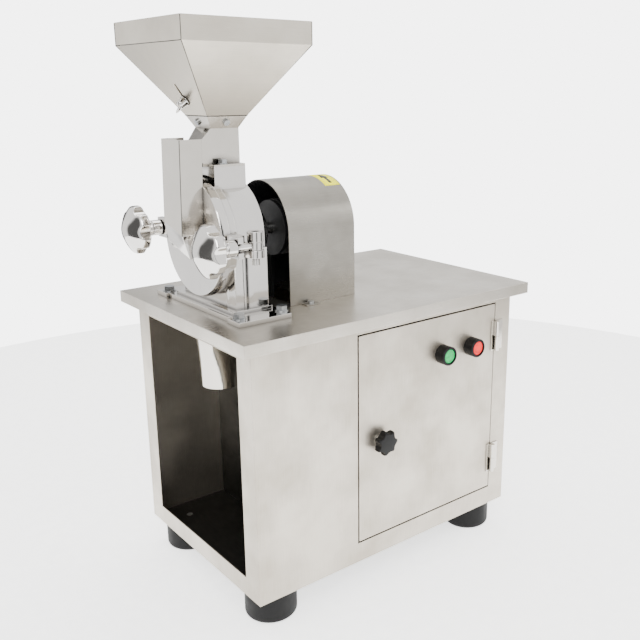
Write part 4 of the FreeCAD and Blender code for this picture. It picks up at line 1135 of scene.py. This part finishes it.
@dataclass
class Drive:
    """Belt guard, belts, pulleys and motor.

    Attributes:
        palette: The finishes.
        fins: Cooling fins round the motor.
        shell_radius: Radius of the motor's shell.
        fin_size: How far a fin stands out, how thick and how long it is.
        fin_out: How far its middle is outside the shell.
        fin_shift: How far the fins' middle is from the motor's, towards the guard.
        label_thick: Thickness of the label's vinyl and of its ink, which is drawn thicker than
            real ink so that the layers stay apart.
        label_rows: Rows of faces over the crown.
        arrow_tip: Half the width of the arrow's tip.
    """

    palette: Palette
    fins: int = 40
    shell_radius: float = 68 * MM
    fin_size: tuple[float, float, float] = (4 * MM, 1.8 * MM, 118 * MM)
    fin_out: float = 1.2 * MM
    fin_shift: float = 8 * MM
    label_thick: float = 0.12 * MM
    label_rows: int = 14
    arrow_tip: float = 0.1 * MM

    def build(self) -> None:
        """Dress the drive, and add the motor's fins and the guard's label."""
        pal = self.palette
        dress(pal.guard, "belt_guard")
        dress(pal.zinc, "guard_screws", "motor_mount")
        dress(pal.iron, "spindle_pulley", "motor_pulley")
        dress(pal.ground, "motor_shaft")
        dress(pal.belt, "drive_belts")
        dress(pal.enamel, "motor")
        self.motor_fins()
        self.label()

    def motor_fins(self) -> None:
        """Ring the motor's shell with straight fins."""
        low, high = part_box("motor")
        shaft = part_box("motor_shaft")
        axis = (shaft[0] + shaft[1]) / 2
        item = grow("motor_fins", Growth.fin_ring(), {
            "Count": self.fins, "Radius": self.shell_radius + self.fin_out,
            "Fin": self.fin_size,
            "Place": ((low.x + high.x) / 2 - self.fin_shift, axis.y, axis.z),
            "Turn": (0, math.radians(90), 0), "Material": self.palette.enamel})
        settle(item, "root", "motor_paint")

    def label(self) -> None:
        """Lay a plain yellow label with an arrow over the guard's crown, at its closed end."""
        pal = self.palette
        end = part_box("belt_guard")[1].x - 2 * MM
        # name, millimetres from the guard's end to both sides, turns over the crown in
        # degrees, millimetres above the sheet, finish, and whether it narrows to a point
        for name, far, near, turn, lift, coat, arrow in (
                ("guard_label", 27, 0, (-34, 12), 0.02, pal.vinyl, False),
                ("guard_label_shaft", 16, 11, (-29, -16), 0.15, pal.ink, False),
                ("guard_label_arrow", 20, 7, (-16, 4), 0.15, pal.ink, True)):
            item = self.patch(name, (end - far * MM, end - near * MM), turn, lift * MM, coat,
                              arrow)
            settle(item, "root", "brushed_stainless")

    def patch(self, name: str, x: tuple[float, float], turn: tuple[float, float], lift: float,
              coat: bpy.types.Material, arrow: bool) -> bpy.types.Object:
        """Bend a thin plate over the guard's crown.

        Args:
            name: The piece's name.
            x: Where it starts and ends along the crown.
            turn: Where it starts and ends over the crown, in degrees from its top.
            lift: How far it is above the sheet.
            coat: Its material.
            arrow: Whether it narrows to a point.

        Returns:
            The plate.
        """
        low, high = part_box("belt_guard")
        radius = (high.y - low.y) / 2 - GUARD_TAB
        middle = Vector(((x[0] + x[1]) / 2, (high.y + low.y) / 2, high.z - radius))
        rows = self.label_rows

        def draw(work: bmesh.types.BMesh) -> None:
            """Draw the plate's two sides row by row and close its edges.

            Args:
                work: The bmesh that gets the plate.
            """
            grids = []
            for out in (lift, lift + self.label_thick):
                grid = []
                for i in range(rows + 1):
                    t = i / rows
                    angle = math.radians(turn[0] + (turn[1] - turn[0]) * t)
                    half = max((x[1] - x[0]) / 2 * (1 - t if arrow else 1), self.arrow_tip)
                    y = middle.y + (radius + out) * math.sin(angle)
                    z = middle.z + (radius + out) * math.cos(angle)
                    grid.append([work.verts.new((middle.x + s * half, y, z))
                                 for s in (-1, 1)])
                grids.append(grid)
            inner, outer = grids
            for i in range(rows):
                a, b, c, d = outer[i], outer[i + 1], inner[i], inner[i + 1]
                work.faces.new((a[0], a[1], b[1], b[0]))
                work.faces.new((c[0], d[0], d[1], c[1]))
                for s in (0, 1):
                    work.faces.new((a[s], b[s], d[s], c[s]))
            for i in (0, rows):
                work.faces.new((inner[i][0], inner[i][1], outer[i][1], outer[i][0]))

        return shell(name, draw, coat)


# ---------------------------------------------------------------- studio

@dataclass
class Studio:
    """Pale floor, soft light and the camera.

    Attributes:
        eye: Camera place from the point on the floor under the table's middle.
        azimuth: Camera's turn about the vertical, in degrees.
        elevation: How far it looks down, in degrees.
        lens: Focal length in millimetres.
        sensor: Width of the sensor in millimetres.
        shift: Lens shift across and up, as shares of the frame's width.
        brightness: Strength of the white surround.
        backdrop: Strength of the plain backdrop that the camera sees.
        floor_glow: Light that the floor gives off.
        floor_radius: Radius of the floor, in metres.
    """

    eye: Vector = Vector((-0.7339, -0.9864, 0.7182))
    azimuth: float = -39.6
    elevation: float = 15.1
    lens: float = 45.8
    sensor: float = 36.0
    shift: tuple[float, float] = (-0.0767, -0.0206)
    brightness: float = 1.8
    backdrop: float = 5.5
    floor_glow: float = 2.1
    floor_radius: float = 1.4

    def build(self) -> None:
        """Set the floor, the light and the camera."""
        self.floor()
        self.sky()
        self.lamps()
        self.camera()

    def floor(self) -> None:
        """Lay a round sheet of pale paper, lit from below so that it casts only soft shadows."""
        paper = Grained("matt_white_paper", "#F2F2F1", "#FAFAF9", 0.0, (0.75, 0.85), 3.0, 0.01,
                        glow=self.floor_glow).make()

        def draw(work: bmesh.types.BMesh) -> None:
            """Draw the round sheet into a bmesh."""
            bmesh.ops.create_circle(work, cap_ends=True, segments=96, radius=self.floor_radius)

        floor = shell("studio_floor", draw, paper, smooth=False)

    def sky(self) -> None:
        """A white surround with dark upright flags, so that polished metal has contrast."""
        world = bpy.data.worlds.new("studio_surround")
        bpy.context.scene.world = world
        world.use_nodes = True
        tree = world.node_tree
        tree.nodes.clear()
        place = add(tree, "ShaderNodeTexCoord").outputs["Generated"]
        height = add(tree, "ShaderNodeSeparateXYZ", Vector=place).outputs[2]
        turn = add(tree, "ShaderNodeTexGradient", {"gradient_type": "RADIAL"}, Vector=place)
        flags = add(tree, "ShaderNodeValToRGB", Fac=turn.outputs["Fac"])
        # azimuth in degrees and how light the surround is there
        stops = ((-180, 0.08), (-172, 0.9), (-160, 0.9), (-154, 0.1), (-147, 1.0), (-112, 1.0),
                 (-105, 0.05), (-96, 0.05), (-88, 1.0), (-60, 1.0), (-42, 0.95), (-33, 0.06),
                 (-14, 0.06), (-5, 1.0), (8, 1.0), (14, 0.15), (22, 1.0), (40, 0.9), (60, 0.8),
                 (76, 0.1), (96, 0.1), (104, 1.0), (148, 1.0), (158, 0.08), (179.9, 0.08))
        edges = flags.color_ramp.elements
        edges.remove(edges[1])
        for spot, (azimuth, grey) in enumerate(stops):
            edge = edges[0] if spot == 0 else edges.new(azimuth / 360 + 0.5)
            edge.position = azimuth / 360 + 0.5
            edge.color = (grey, grey, grey, 1)
        above = add(tree, "ShaderNodeMapRange", Value=height, From_Min=0.4, From_Max=0.75,
                    To_Min=0.0, To_Max=1.0).outputs[0]
        surround = add(tree, "ShaderNodeMix", {"data_type": "RGBA"}, i0=above,
                       i6=flags.outputs[0], i7=(1.0, 1.0, 1.0, 1.0)).outputs[2]
        seen = add(tree, "ShaderNodeLightPath").outputs["Is Camera Ray"]
        white = (*[self.backdrop / self.brightness] * 3, 1.0)
        plain = add(tree, "ShaderNodeMix", {"data_type": "RGBA"}, i0=seen, i6=surround, i7=white)
        light = add(tree, "ShaderNodeBackground", Color=plain.outputs[2],
                    Strength=self.brightness)
        output = add(tree, "ShaderNodeOutputWorld")
        tree.links.new(light.outputs[0], output.inputs[0])

    def lamps(self) -> None:
        """Hang three soft boxes round the machine."""
        centre = Vector((0, 0, 0.4))
        # name, place in metres, width in metres and power in watts
        for name, spot, size, power in (
                ("key_softbox", (-1.6, -1.9, 2.2), 1.5, 55.0),
                ("side_softbox", (2.2, -1.4, 1.4), 1.3, 22.0),
                ("top_softbox", (0.1, 0.5, 2.8), 1.8, 40.0)):
            lamp = bpy.data.lights.new(name, "AREA")
            lamp.size = size
            lamp.energy = power
            item = bpy.data.objects.new(name, lamp)
            item.location = spot
            item.rotation_euler = (centre - Vector(spot)).to_track_quat("-Z", "Y").to_euler()
            bpy.context.scene.collection.objects.link(item)

    def camera(self) -> None:
        """Stand the camera where the product view is taken from."""
        low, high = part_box("table_top")
        middle = (low + high) / 2
        data = bpy.data.cameras.new("product_view")
        data.lens = self.lens
        data.sensor_width = self.sensor
        data.shift_x, data.shift_y = self.shift
        item = bpy.data.objects.new("product_view", data)
        item.location = self.eye + Vector((middle.x, middle.y, 0))
        item.rotation_euler = (math.radians(90 - self.elevation), 0, math.radians(self.azimuth))
        bpy.context.scene.collection.objects.link(item)
        bpy.context.scene.camera = item


def main() -> None:
    """Build every sub-assembly in order."""
    palette = Palette()
    for part in (Stand(palette), ControlPanel(palette), Mill(palette), FeedHopper(palette),
                 Drive(palette), Studio()):
        LOG.info("building %s", type(part).__name__)
        part.build()


if __name__ == "__main__":
    main()
